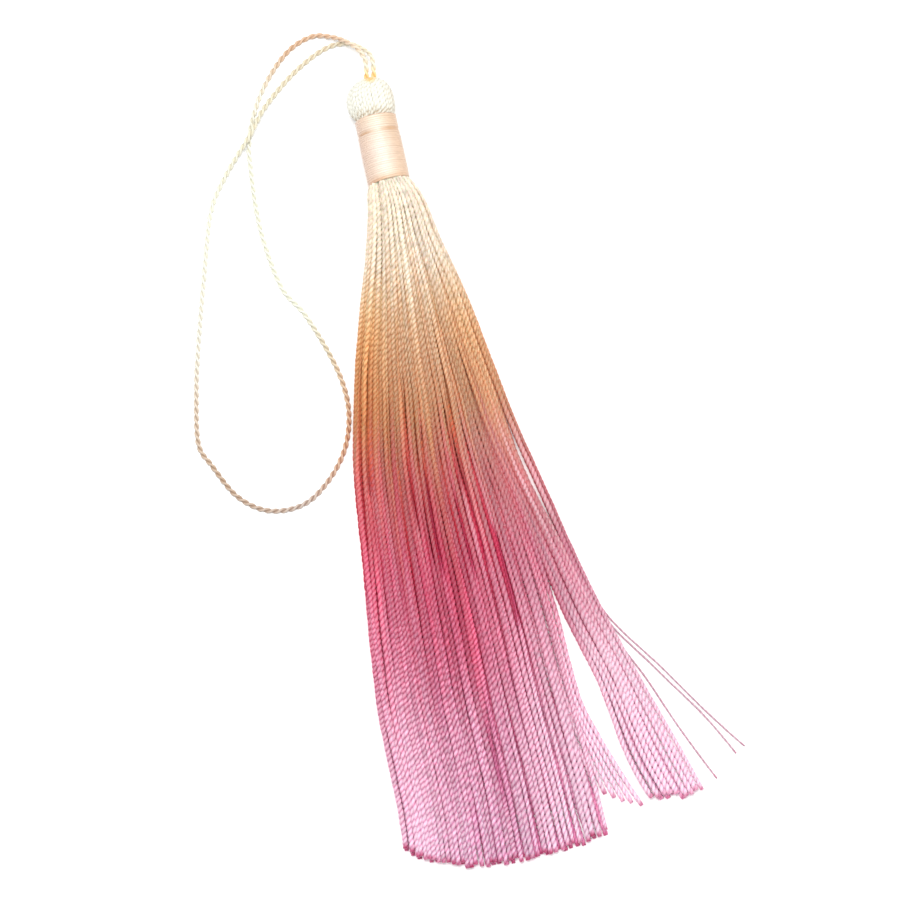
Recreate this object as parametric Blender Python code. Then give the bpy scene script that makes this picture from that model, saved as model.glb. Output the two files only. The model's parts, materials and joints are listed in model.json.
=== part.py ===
"""A long tassel of twisted threads, lying on its side on a flat surface.

The threads are folded over the hanging cord into a round head, bound round the neck, and fan out
below it into a skirt, with one lock that parts from it on the right.

World frame: +Z up from the surface, +Y along the neck towards the head, +X to the right when the
tassel is seen from above with its head away. The origin is the middle of the footprint of the
threads and their binding. Tables are in millimetres, in the neck's own frame: its origin is on
the surface, straight below the middle of the binding's lower edge. `along` runs up from that edge
to the head, and `drop` runs down from it to the thread ends.
"""

import math
from collections import namedtuple

import bmesh
import bpy
from mathutils import Vector

MM = 0.001

# Where the neck's frame stands in the world: it puts the footprint's middle at the origin.
NECK_PLACE = Vector((-8.56, 47.62, 0.0))

AXIS_HEIGHT = 3.8       # of the neck's axis above the surface
CORE_RADIUS = 2.8       # the threads under the binding
FLAT_BELOW = 0.2        # what hangs lower than this on the head is pressed flat on the surface

# The folded threads of the head, ring by ring up to the place where the cord comes out.
HeadRing = namedtuple("HeadRing", "along radius sideways")
HEAD_RINGS = (
    HeadRing(-0.4, CORE_RADIUS, 0.0),
    HeadRing(11.5, CORE_RADIUS, 0.0),
    HeadRing(11.65, 3.35, 0.0),
    HeadRing(12.3, 3.75, -0.1),
    HeadRing(13.2, 3.95, -0.2),
    HeadRing(14.6, 3.95, -0.2),
    HeadRing(15.6, 3.7, -0.1),
    HeadRing(16.5, 3.15, 0.0),
    HeadRing(17.15, 2.4, 0.1),
    HeadRing(17.6, 1.5, 0.2),
)
HEAD_TOP = HeadRing(17.85, 0.0, 0.25)

# The binding's wall, in section: its outside, from the lower edge to the upper one. The dip is
# the groove between its last turns.
BINDING_BORE = 3.1
BINDING_STEPS = 36
WallPoint = namedtuple("WallPoint", "along radius")
BINDING_OUTSIDE = (
    WallPoint(0.0, 3.36),
    WallPoint(0.25, 3.5),
    WallPoint(3.0, 3.5),
    WallPoint(8.0, 3.45),
    WallPoint(8.45, 3.33),
    WallPoint(8.9, 3.42),
    WallPoint(10.9, 3.42),
    WallPoint(11.2, 3.3),
)

# How many threads stand in each row under the neck, from the lowest row up.
ROWS = (8, 12, 14, 14, 14, 14, 12, 8)
COLUMNS = max(ROWS)
LAYER_ROWS = len(ROWS) // 2
ROOT_DROP = 4.0         # where the threads come apart
# A layer's rows in the order in which they come to lie beside each other.
ROW_TURN = (0, 2, 1, 3)

# The skirt's sections: its two edges, the underside and the height of the pile, how high it still
# is at its edges as a share of that height, and the side of a thread's square section. spread and
# settle say how far the rows have moved beside each other and have then sunk together: 1 is two
# rows in one level, and 2 is all four of a layer.
Section = namedtuple("Section", "drop left right rise depth edge spread settle side")
SECTIONS = (
    Section(4.0, -4.2, 5.4, 0.25, 6.6, 1.0, 0.0, 0.0, 0.38),
    Section(10.0, -5.7, 6.2, 0.0, 6.3, 0.85, 0.3, 0.0, 0.40),
    Section(20.0, -9.0, 8.5, 0.0, 5.3, 0.85, 1.0, 0.0, 0.40),
    Section(32.0, -12.7, 10.5, 0.0, 4.0, 0.65, 1.0, 1.0, 0.42),
    Section(46.0, -15.75, 12.7, 0.0, 3.2, 0.70, 1.8, 1.0, 0.42),
    Section(60.0, -17.2, 15.6, 0.0, 2.6, 0.80, 2.0, 1.0, 0.45),
    Section(75.0, -18.8, 19.2, 0.0, 1.8, 0.80, 2.0, 2.0, 0.50),
    Section(88.0, -19.7, 23.1, 0.0, 1.5, 1.0, 2.0, 2.0, 0.52),
    Section(100.0, -19.7, 27.1, 0.0, 1.5, 1.0, 2.0, 2.0, 0.52),
    Section(114.0, -20.9, 31.3, 0.0, 1.5, 1.0, 2.0, 2.0, 0.52),
)

# How much of the skirt's width the levels of two rows take, from the lowest level up.
LEVEL_WIDTHS = (1.0, 1.0, 0.88, 0.68)

# How the skirt parts: the right edge of each layer's main threads, of the short threads beside
# the lower ones, and the lock's left edge. The lock's right edge is the skirt's own.
Parting = namedtuple("Parting", "drop upper_right lower_right short_right lock_left")
PARTINGS = (
    Parting(32.0, 5.6, 3.4, 5.4, 5.8),
    Parting(46.0, 6.8, 4.2, 6.8, 7.0),
    Parting(60.0, 8.6, 5.0, 8.6, 8.9),
    Parting(75.0, 12.1, 7.6, 12.1, 12.9),
    Parting(88.0, 11.6, 8.6, 12.9, 16.2),
    Parting(100.0, 12.3, 10.9, 16.2, 17.9),
    Parting(114.0, 13.0, 12.9, 21.9, 22.6),
)

# How many threads of each layer go to each part of the skirt, from its left edge.
UPPER_PARTS = (("main", 39), ("lock", 9))
LOWER_PARTS = (("main", 34), ("short", 6), ("lock", 5), ("stray", 3))

# The three stray threads lie on the surface beside the lock: where each is, counted from it.
Stray = namedtuple("Stray", "drop inner middle outer")
STRAYS = (
    Stray(75.0, 17.7, 18.35, 19.05),
    Stray(88.0, 23.75, 26.3, 27.3),
    Stray(97.0, 27.3, 32.2, 33.2),
    Stray(114.0, 35.0, 40.6, 46.0),
)
STRAY_ENDS = (106.6, 103.4, 102.1)

# Where the threads of each part are cut, across the skirt.
Cut = namedtuple("Cut", "across drop")
CUTS = {
    "main": (
        Cut(-20.4, 106.9), Cut(-19.2, 108.2), Cut(-17.0, 109.7), Cut(-12.4, 111.0),
        Cut(-7.6, 112.6), Cut(-1.5, 113.1), Cut(6.2, 112.6), Cut(10.9, 112.1), Cut(12.6, 110.6),
    ),
    "short": (Cut(12.6, 105.0), Cut(15.9, 107.0), Cut(19.6, 109.4)),
    "lock": (Cut(21.1, 107.6), Cut(25.5, 108.4), Cut(29.4, 107.7)),
}

# The hanging cord, doubled: its middle line from the head round the loop and back, as it lies.
CORD_WIDTH = 0.9
CORD_SIDES_RES = 2
CORD_STEP = 2.7
RoutePoint = namedtuple("RoutePoint", "across along height")
CORD_ROUTE = (
    RoutePoint(0.0, 18.25, 4.1),
    RoutePoint(0.25, 19.7, 4.2),
    RoutePoint(0.3, 21.3, 4.15),
    RoutePoint(-0.45, 23.3, 3.45),
    RoutePoint(-1.9, 25.1, 2.45),
    RoutePoint(-4.0, 26.7, 1.3),
    RoutePoint(-7.2, 27.75, 0.5),
    RoutePoint(-11.3, 26.35, 0.45),
    RoutePoint(-15.3, 22.8, 0.45),
    RoutePoint(-18.55, 18.35, 0.45),
    RoutePoint(-20.9, 13.0, 0.45),
    RoutePoint(-21.8, 7.5, 0.45),
    RoutePoint(-22.25, -2.4, 0.45),
    RoutePoint(-20.9, -12.5, 0.45),
    RoutePoint(-18.1, -17.8, 0.45),
    RoutePoint(-15.6, -24.6, 0.45),
    RoutePoint(-14.25, -30.6, 0.45),
    RoutePoint(-14.35, -36.0, 0.45),
    RoutePoint(-16.2, -41.4, 0.45),
    RoutePoint(-19.8, -45.9, 0.45),
    RoutePoint(-24.5, -48.9, 0.45),
    RoutePoint(-30.2, -48.8, 0.45),
    RoutePoint(-34.8, -45.5, 0.45),
    RoutePoint(-37.9, -39.6, 0.45),
    RoutePoint(-39.35, -35.5, 0.45),
    RoutePoint(-38.1, -27.6, 0.45),
    RoutePoint(-36.3, -20.2, 0.45),
    RoutePoint(-32.9, -8.4, 0.45),
    RoutePoint(-29.6, 2.1, 0.45),
    RoutePoint(-25.9, 7.6, 0.75),
    RoutePoint(-21.2, 12.6, 1.8),
    RoutePoint(-19.4, 14.9, 1.65),
    RoutePoint(-17.2, 17.6, 1.05),
    RoutePoint(-12.5, 21.6, 0.45),
    RoutePoint(-7.8, 24.4, 0.45),
    RoutePoint(-4.2, 25.55, 0.5),
    RoutePoint(-1.3, 24.95, 1.25),
    RoutePoint(0.75, 22.95, 2.95),
    RoutePoint(1.55, 21.1, 4.0),
    RoutePoint(1.25, 18.2, 4.1),
)


def clear_scene():
    """Remove every object that the file opened with."""
    for item in list(bpy.data.objects):
        bpy.data.objects.remove(item, do_unlink=True)


def make_material(name, color, roughness):
    """Return a plain material of the given colour and roughness."""
    material = bpy.data.materials.new(name)
    material.use_nodes = True
    shader = material.node_tree.nodes["Principled BSDF"]
    shader.inputs["Base Color"].default_value = (*color, 1.0)
    shader.inputs["Roughness"].default_value = roughness
    shader.inputs["Metallic"].default_value = 0.0
    return material


def add_object(name, data, material):
    """Link the data as a named object in the neck's place."""
    item = bpy.data.objects.new(name, data)
    item.location = NECK_PLACE * MM
    data.materials.append(material)
    bpy.context.scene.collection.objects.link(item)
    return item


def finish_mesh(name, built, material):
    """Turn all faces outward and store the mesh as a named object."""
    bmesh.ops.recalc_face_normals(built, faces=built.faces[:])
    bmesh.ops.scale(built, vec=(MM, MM, MM), verts=built.verts[:])
    data = bpy.data.meshes.new(name)
    built.to_mesh(data)
    built.free()
    return add_object(name, data, material)


def mix(start, end, share):
    """Return the value that lies the given share of the way from start to end."""
    return start + (end - start) * share


def read_table(table, key, value, place):
    """Read one column of a table at a place between its rows, along straight lines."""
    for before, after in zip(table, table[1:]):
        start, end = getattr(before, key), getattr(after, key)
        if place <= end:
            break
    share = min(1.0, max(0.0, (place - start) / (end - start)))
    return mix(getattr(before, value), getattr(after, value), share)


class Thread:
    """One thread of the skirt: its cell under the neck, and its places in the fanned layers."""

    def __init__(self, column, row):
        self.column = column
        self.row = row
        self.layer = row // LAYER_ROWS
        self.turn = column + ROW_TURN[row % LAYER_ROWS] / LAYER_ROWS
        self.part = ""
        self.part_share = 0.0
        self.number = 0
        self.pair_share = 0.0

    def level(self, settle):
        """Return how high the thread lies in the pile, from 0 at its bottom to 1 at its top."""
        last = len(ROWS) - 1
        levels = (self.row / last, (self.row // 2) / (last // 2), float(self.layer))
        step = min(1, int(settle))
        return mix(levels[step], levels[step + 1], settle - step)

    def fan_place(self, drop):
        """Return the thread's place across the skirt where the layers have fanned out."""
        left = read_table(SECTIONS, "drop", "left", drop)
        right = read_table(SECTIONS, "drop", "right", drop)
        start = max(drop, PARTINGS[0].drop)
        if self.part == "stray" and drop >= STRAYS[0].drop:
            return read_table(STRAYS, "drop", Stray._fields[1 + self.number], drop)
        if self.part == "short":
            left = read_table(PARTINGS, "drop", "lower_right", start)
            right = read_table(PARTINGS, "drop", "short_right", start)
        elif self.part in ("lock", "stray"):
            left = read_table(PARTINGS, "drop", "lock_left", start)
        else:
            edge = "upper_right" if self.layer else "lower_right"
            right = read_table(PARTINGS, "drop", edge, start)
        return mix(left, right, self.part_share)

    def place(self, section):
        """Return the middle of the thread across the skirt, and the height of its underside."""
        left, right = section.left, section.right
        places = (
            mix(left, right, (self.column + 0.5) / COLUMNS),
            mix(left, right, self.pair_share),
            self.fan_place(section.drop),
        )
        step = min(1, int(section.spread))
        across = mix(places[step], places[step + 1], section.spread - step)
        offset = (2 * across - left - right) / (right - left)
        depth = section.depth * mix(1.0, section.edge, offset * offset)
        return across, section.rise + self.level(section.settle) * (depth - section.side)

    def end(self):
        """Return the drop at which the thread is cut."""
        if self.part == "stray":
            return STRAY_ENDS[self.number]
        return read_table(CUTS[self.part], "across", "drop", self.fan_place(107.0))


def read_section(drop):
    """Return the skirt's section at any drop."""
    values = [read_table(SECTIONS, "drop", field, drop) for field in Section._fields[1:]]
    return Section(drop, *values)


def make_threads():
    """Return all threads with their places in the rows, the levels and the layers."""
    threads = []
    for row, count in enumerate(ROWS):
        first = (COLUMNS - count) // 2
        threads.extend(Thread(column, row) for column in range(first, first + count))
    for level in range(len(ROWS) // 2):
        pair = sorted((t for t in threads if t.row // 2 == level), key=lambda t: t.turn)
        for rank, thread in enumerate(pair):
            share = (rank + 0.5) / len(pair)
            thread.pair_share = 0.5 + (share - 0.5) * LEVEL_WIDTHS[level]
    for layer, parts in enumerate((LOWER_PARTS, UPPER_PARTS)):
        members = sorted((t for t in threads if t.layer == layer), key=lambda t: t.turn)
        split_layer(members, parts)
    return threads


def split_layer(members, parts):
    """Deal a layer's threads out to its parts, from the left edge to the right one."""
    counts = dict(parts)
    beside = counts["lock"] + counts.get("stray", 0)
    start = 0
    for part, count in parts:
        for number, thread in enumerate(members[start:start + count]):
            thread.part = part
            thread.number = number
            thread.part_share = (number + 0.5) / count
            if part == "lock":
                thread.part_share = (number + 0.5) / beside
            elif part == "stray":
                thread.part_share = (counts["lock"] + number + 0.5) / beside
        start += count


def root_corner(column, row):
    """Return the corner between the cells under the neck, at the root section."""
    section = SECTIONS[0]
    across = mix(section.left, section.right, column / COLUMNS)
    return Vector((across, -section.drop, section.rise + section.depth * row / len(ROWS)))


def build_root(built, threads):
    """Add the face under the neck, one cell for each thread, and return its cells and rim."""
    corners = {}
    cells = {}
    for thread in threads:
        column, row = thread.column, thread.row
        loop = []
        for spot in ((column, row), (column + 1, row), (column + 1, row + 1), (column, row + 1)):
            if spot not in corners:
                corners[spot] = built.verts.new(root_corner(*spot))
            loop.append(corners[spot])
        cells[thread] = built.faces.new(loop)
    rim = [edge for edge in built.edges if len(edge.link_faces) == 1]
    rim_verts = {vert for edge in rim for vert in edge.verts}
    middle = Vector((0.6, 0.0, SECTIONS[0].rise + SECTIONS[0].depth / 2))
    return cells, sorted(rim_verts, key=lambda vert: rim_angle(vert.co - middle))


def rim_angle(offset):
    """Return the angle of a point round the neck's axis."""
    return math.atan2(offset.z, offset.x)


def head_ring(built, ring, angles):
    """Add one round ring of the head, pressed flat where it meets the surface."""
    verts = []
    for angle in angles:
        height = AXIS_HEIGHT + ring.radius * math.sin(angle)
        if height < FLAT_BELOW:
            height = 0.0
        across = ring.sideways + ring.radius * math.cos(angle)
        verts.append(built.verts.new((across, ring.along, height)))
    return verts


def bridge(built, ring, other):
    """Join two closed rings that have the same number of points."""
    for index in range(len(ring)):
        ahead = (index + 1) % len(ring)
        built.faces.new((ring[index], ring[ahead], other[ahead], other[index]))


def build_head(built, rim):
    """Grow the neck and the head from the rim of the root face."""
    middle = Vector((0.6, 0.0, SECTIONS[0].rise + SECTIONS[0].depth / 2))
    angles = [rim_angle(vert.co - middle) for vert in rim]
    below = rim
    for ring in HEAD_RINGS:
        above = head_ring(built, ring, angles)
        bridge(built, below, above)
        below = above
    top = built.verts.new((HEAD_TOP.sideways, HEAD_TOP.along, AXIS_HEIGHT))
    for index in range(len(below)):
        built.faces.new((below[index], below[(index + 1) % len(below)], top))


def square(across, height, side, drop):
    """Return the corners of a thread's section, in the order of its cell's corners."""
    half = side / 2
    return (
        Vector((across - half, -drop, height)),
        Vector((across + half, -drop, height)),
        Vector((across + half, -drop, height + side)),
        Vector((across - half, -drop, height + side)),
    )


def grow_thread(built, thread, cell):
    """Grow one thread out of its cell, section by section to its cut end."""
    corners = [vert.co.copy() for vert in cell.verts]
    middle = sum(corners, Vector()) / 4
    side = SECTIONS[0].side
    root = square(middle.x, middle.z - side / 2, side, ROOT_DROP)
    rings = [root]
    end = thread.end()
    for drop in [row.drop for row in SECTIONS[1:] if row.drop < end - 1.0] + [end]:
        section = read_section(drop)
        across, height = thread.place(section)
        rings.append(square(across, height, section.side, drop))
    below = list(cell.verts)
    built.faces.remove(cell)
    for ring in rings:
        above = [built.verts.new(point) for point in ring]
        bridge(built, below, above)
        below = above
    built.faces.new(below)


def build_bundle(material):
    """Build the threads as one body: the head, the neck inside the binding, and the skirt."""
    built = bmesh.new()
    threads = make_threads()
    cells, rim = build_root(built, threads)
    build_head(built, rim)
    for thread in threads:
        grow_thread(built, thread, cells[thread])
    return finish_mesh("thread_bundle", built, material)


def build_binding(material):
    """Build the wound binding round the neck as one hollow wall."""
    built = bmesh.new()
    last = BINDING_OUTSIDE[-1].along
    section = list(BINDING_OUTSIDE)
    section += [WallPoint(last, BINDING_BORE), WallPoint(0.0, BINDING_BORE)]
    rings = []
    for point in section:
        ring = []
        for step in range(BINDING_STEPS):
            angle = math.tau * step / BINDING_STEPS
            across = point.radius * math.cos(angle)
            height = AXIS_HEIGHT + point.radius * math.sin(angle)
            ring.append(built.verts.new((across, point.along, height)))
        rings.append(ring)
    for index, ring in enumerate(rings):
        bridge(built, ring, rings[(index + 1) % len(rings)])
    return finish_mesh("neck_binding", built, material)


def smooth_point(route, share):
    """Return the point of a smooth curve through the route, where share counts its points."""
    index = min(int(share), len(route) - 2)
    step = share - index
    near = [Vector(route[min(max(index + shift, 0), len(route) - 1)]) for shift in (-1, 0, 1, 2)]
    slope_start = (near[2] - near[0]) / 2
    slope_end = (near[3] - near[1]) / 2
    rise = step * step * (3 - 2 * step)
    point = near[1] * (1 - rise) + near[2] * rise
    point += slope_start * (step * (1 - step) ** 2)
    point -= slope_end * (step * step * (1 - step))
    return point


def even_points(route, spacing):
    """Return points at even distances along the smooth curve through the route."""
    fine = [smooth_point(route, n / 20) for n in range(20 * (len(route) - 1) + 1)]
    lengths = [0.0]
    for start, end in zip(fine, fine[1:]):
        lengths.append(lengths[-1] + (end - start).length)
    count = round(lengths[-1] / spacing)
    points = []
    index = 0
    for number in range(count + 1):
        goal = lengths[-1] * number / count
        while index < len(fine) - 2 and lengths[index + 1] < goal:
            index += 1
        share = (goal - lengths[index]) / (lengths[index + 1] - lengths[index])
        points.append(fine[index].lerp(fine[index + 1], share))
    return points


def build_cord(material):
    """Build the hanging cord as a round tube along its route."""
    data = bpy.data.curves.new("hanging_cord", "CURVE")
    data.dimensions = "3D"
    data.bevel_depth = CORD_WIDTH / 2 * MM
    data.bevel_resolution = CORD_SIDES_RES
    data.use_fill_caps = True
    points = even_points(CORD_ROUTE, CORD_STEP)
    line = data.splines.new("POLY")
    line.points.add(len(points) - 1)
    for spot, point in zip(line.points, points):
        spot.co = (*(point * MM), 1.0)
    return add_object("hanging_cord", data, material)


def main():
    """Build the tassel."""
    clear_scene()
    build_bundle(make_material("rose_threads", (0.72, 0.22, 0.26), 0.5))
    build_binding(make_material("peach_binding", (0.9, 0.68, 0.55), 0.4))
    build_cord(make_material("cream_cord", (0.9, 0.76, 0.56), 0.55))


main()
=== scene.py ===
"""Looks of a long tassel of twisted threads that lies on its side on a pale surface.

The sizes are in millimetres, in the neck's own frame: x across the neck, y along it towards the
head, z up from the surface. The frame's origin is on the surface, straight below the middle of
the binding's lower edge, so `drop`, the distance down the skirt from that edge, is -y. NECK_PLACE
carries that frame to the world.
"""

from __future__ import annotations

import json
import logging
import math
from dataclasses import dataclass, field
from enum import Enum, IntEnum

import bpy
import numpy as np
from mathutils import Matrix, Vector

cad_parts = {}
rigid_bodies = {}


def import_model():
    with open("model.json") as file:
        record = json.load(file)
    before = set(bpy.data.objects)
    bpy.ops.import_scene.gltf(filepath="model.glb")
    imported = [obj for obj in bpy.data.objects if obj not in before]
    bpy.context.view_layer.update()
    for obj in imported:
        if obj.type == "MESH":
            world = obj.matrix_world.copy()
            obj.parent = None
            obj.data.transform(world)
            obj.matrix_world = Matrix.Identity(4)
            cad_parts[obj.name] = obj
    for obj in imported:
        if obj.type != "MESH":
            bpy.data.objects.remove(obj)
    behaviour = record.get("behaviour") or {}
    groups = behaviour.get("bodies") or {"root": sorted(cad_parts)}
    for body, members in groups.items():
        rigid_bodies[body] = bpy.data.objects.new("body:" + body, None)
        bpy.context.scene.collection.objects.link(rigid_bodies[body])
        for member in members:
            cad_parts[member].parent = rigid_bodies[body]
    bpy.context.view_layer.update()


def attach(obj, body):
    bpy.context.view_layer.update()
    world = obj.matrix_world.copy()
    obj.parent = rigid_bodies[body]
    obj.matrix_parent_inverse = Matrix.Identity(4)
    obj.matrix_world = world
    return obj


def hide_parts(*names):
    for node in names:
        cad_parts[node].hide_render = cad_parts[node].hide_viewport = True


LOG = logging.getLogger("tassel")

MM = 0.001
NECK_PLACE = np.array((-8.56, 47.62, 0.0))
AXIS_HEIGHT = 3.8
SKIRT_END = 114.0  # The drop at which the tables of the skirt end.
BOW_POWER = 1.5  # How far a bow's peak lies to the right.
BOW_PEAK = 0.186  # The greatest value of share ** BOW_POWER * (1 - share).
BELOW_ONE = 0.9999  # Keeps a table's last place inside its last row.
UPWARDS = np.array((0.0, 0.0, 1.0))
END_FACE = 0.9  # How far an end face's normal points along the neck, at least.

Color = tuple[float, float, float]
Span = tuple[float, float]


# --- Numbers and curves -----------------------------------


def to_world(points: np.ndarray) -> np.ndarray:
    """Carry points from the neck's frame to the world.

    Args:
        points: Rows of x, y, z in millimetres.

    Returns:
        The same points in the world, in metres.
    """
    return (np.asarray(points, float) + NECK_PLACE) * MM


def ease(share: np.ndarray | float) -> np.ndarray | float:
    """Turn an even climb from 0 to 1 into one that starts and ends gently."""
    return share * share * (3 - 2 * share)


def climb(places: np.ndarray | float, start: float, stop: float) -> np.ndarray | float:
    """Return how far places are on their way from a start to a stop, from 0 to 1."""
    return np.clip((places - start) / (stop - start), 0.0, 1.0)


def swell(places: np.ndarray, middle: float, reach: float) -> np.ndarray:
    """Return a soft rise that is 1 in its middle and dies away on both sides."""
    return np.exp(-(((places - middle) / reach) ** 2))


def mix(base: np.ndarray, other: np.ndarray, share: np.ndarray | float) -> np.ndarray:
    """Blend one array of numbers or colours with another.

    Args:
        base: The first one, left where the share is 0.
        other: The second one, in its place where the share is 1.
        share: How much of the second one there is.

    Returns:
        The blend.
    """
    return base * (1 - share) + other * share


def walked(points: np.ndarray) -> np.ndarray:
    """Return the distance along a line of points from its first one to each."""
    steps = np.linalg.norm(np.diff(points, axis=0), axis=1)
    return np.concatenate(([0.0], np.cumsum(steps)))


def smooth_table(places: np.ndarray, values: np.ndarray, at: np.ndarray) -> np.ndarray:
    """Read a table along a smooth curve that never swings past its rows.

    Args:
        places: The rows' places, rising.
        values: The rows' values.
        at: The places to read.

    Returns:
        One value for each place read.
    """
    places = np.asarray(places, float)
    values = np.asarray(values, float)
    at = np.clip(np.asarray(at, float), places[0], places[-1])
    gaps = np.diff(places)
    rises = np.diff(values) / gaps
    slopes = np.zeros_like(values)
    slopes[0], slopes[-1] = rises[0], rises[-1]
    same_way = rises[:-1] * rises[1:] > 0
    weight_a = 2 * gaps[1:] + gaps[:-1]
    weight_b = gaps[1:] + 2 * gaps[:-1]
    safe_a = np.where(same_way, rises[:-1], 1.0)
    safe_b = np.where(same_way, rises[1:], 1.0)
    inner = (weight_a + weight_b) / (weight_a / safe_a + weight_b / safe_b)
    slopes[1:-1] = np.where(same_way, inner, 0.0)
    index = np.clip(np.searchsorted(places, at, side="right") - 1, 0, len(gaps) - 1)
    gap = gaps[index]
    step = (at - places[index]) / gap
    keep = (1 + 2 * step) * (1 - step) ** 2
    lead = step * (1 - step) ** 2 * gap
    trail = step * step * (step - 1) * gap
    result = keep * values[index] + ease(step) * values[index + 1]
    return result + lead * slopes[index] + trail * slopes[index + 1]


def to_linear(color: np.ndarray) -> np.ndarray:
    """Turn screen colours from 0 to 255 into the linear light that shaders use.

    Args:
        color: Rows of red, green and blue from 0 to 255.

    Returns:
        The same colours in linear light, from 0 to 1.
    """
    share = np.clip(np.asarray(color, float) / 255.0, 0.0, 1.0)
    return np.where(share <= 0.04045, share / 12.92, ((share + 0.055) / 1.055) ** 2.4)


@dataclass(frozen=True)
class Course:
    """A number that changes evenly from place to place along a length.

    Attributes:
        places: Where it is given, in millimetres, rising.
        values: The number at each of these places.
    """

    places: tuple[float, ...]
    values: tuple[float, ...]

    def at(self, places: np.ndarray) -> np.ndarray:
        """Return the number at each place."""
        return np.interp(places, self.places, self.values)


@dataclass(frozen=True)
class Palette:
    """Colours that shade into each other along a length.

    Attributes:
        stops: Rows of a place in millimetres and the red, green and blue there, from 0 to 255.
    """

    stops: tuple[tuple[float, float, float, float], ...]

    def at(self, places: np.ndarray) -> np.ndarray:
        """Return screen colours, one row for each place."""
        table = np.array(self.stops, float)
        return np.stack([np.interp(places, table[:, 0], table[:, c]) for c in (1, 2, 3)], axis=-1)


@dataclass(frozen=True)
class Wander:
    """Slow, smooth unevenness of a thread along its length.

    Attributes:
        size: How strong it is.
        shortest: The shortest wave's length in millimetres.
        longest: The longest wave's length in millimetres.
    """

    size: float
    shortest: float
    longest: float

    def draw(self, rng: np.random.Generator, places: np.ndarray) -> np.ndarray:
        """Choose three waves at random and read their sum.

        Args:
            rng: The source of chance.
            places: Where to read it, in millimetres.

        Returns:
            One value for each place, at most the size up or down.
        """
        lengths = np.exp(rng.uniform(math.log(self.shortest), math.log(self.longest), 3))
        starts = rng.uniform(0.0, math.tau, 3)
        waves = np.sin(np.outer(places, math.tau / lengths) + starts)
        return self.size * (waves @ (lengths / lengths.sum()))


class Drift:
    """Smooth unevenness that neighbouring threads share, across the skirt and along it."""

    def __init__(self, rng: np.random.Generator, across: int, along: int) -> None:
        """Choose the values at random.

        Args:
            rng: The source of chance.
            across: How many values lie across the skirt.
            along: How many lie along it.
        """
        self.grid = rng.uniform(-1.0, 1.0, (across, along))

    def at(self, share: float, places: np.ndarray) -> np.ndarray:
        """Read the unevenness along one thread.

        Args:
            share: The thread's place across the skirt, from 0 to 1.
            places: Places along it, from 0 at the neck to 1 at the cut ends.

        Returns:
            One value from -1 to 1 for each place.
        """
        rows, columns = self.grid.shape
        row = share * (rows - 1)
        column = np.clip(places, 0.0, BELOW_ONE) * (columns - 1)
        low, left = int(row), column.astype(int)
        up, right = ease(row - low), ease(column - left)
        near = mix(self.grid[low, left], self.grid[low, left + 1], right)
        far = mix(self.grid[low + 1, left], self.grid[low + 1, left + 1], right)
        return mix(near, far, up)


# --- Twisted yarn as mesh ---------------------------------


class Twist(Enum):
    """Which way the plies of a yarn wind, as the sign of their turn along its path."""

    LEFT = -1
    RIGHT = 1


@dataclass
class YarnRun:
    """One length of yarn, ready to be swept.

    Attributes:
        points: Its middle line, rows of x, y, z in millimetres in the neck's frame.
        widths: Its thickness at each point.
        lays: The length of one full turn of its plies at each point.
        ridge: The screen colour of its plies' backs at each point, with painted light on them.
        groove: The screen colour between its plies at each point, with painted shade.
        start_turn: The angle of its plies at the first point, in radians.
        up: The direction that its first frame faces, one row or one for each point.
        under: The screen colour of its sheltered underside at each point, painted as its shade, if
            that
        differs.
    """

    points: np.ndarray
    widths: np.ndarray
    lays: np.ndarray
    ridge: np.ndarray
    groove: np.ndarray
    start_turn: float
    up: np.ndarray
    under: np.ndarray | None = None


@dataclass(frozen=True)
class PlySection:
    """The outline of a yarn of two plies, one unit thick.

    Attributes:
        quarter: Its first quarter, from a ply's back to the groove: rows of the place across
        both plies, the place beside that line, and how deep in the groove it lies, 0 to 1, which
        sets how far the point takes the painted shade between the plies.
    """

    quarter: tuple[tuple[float, float, float], ...]

    def columns(self) -> np.ndarray:
        """Mirror the quarter to the whole outline.

        Returns:
            Three rows: places across both plies, places beside that line, and depths.
        """
        over = [*self.quarter, *((-a, b, d) for a, b, d in self.quarter[-2::-1])]
        under = [(a, -b, d) for a, b, d in over[-2:0:-1]]
        return np.array(over + under).T


PLAIN_YARN = PlySection(((0.5, 0.0, 0.0), (0.32, 0.36, 0.3), (0.0, 0.31, 1.0)))
FINE_YARN = PlySection(
    (
        (0.5, 0.0, 0.0), (0.45, 0.17, 0.05), (0.25, 0.27, 0.3), (0.07, 0.22, 0.8),
        (0.0, 0.17, 1.0),
    )
)
ROUND_THREAD = PlySection(((0.5, 0.0, 1.0), (0.38, 0.38, 0.5), (0.0, 0.5, 0.0)))


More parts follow.
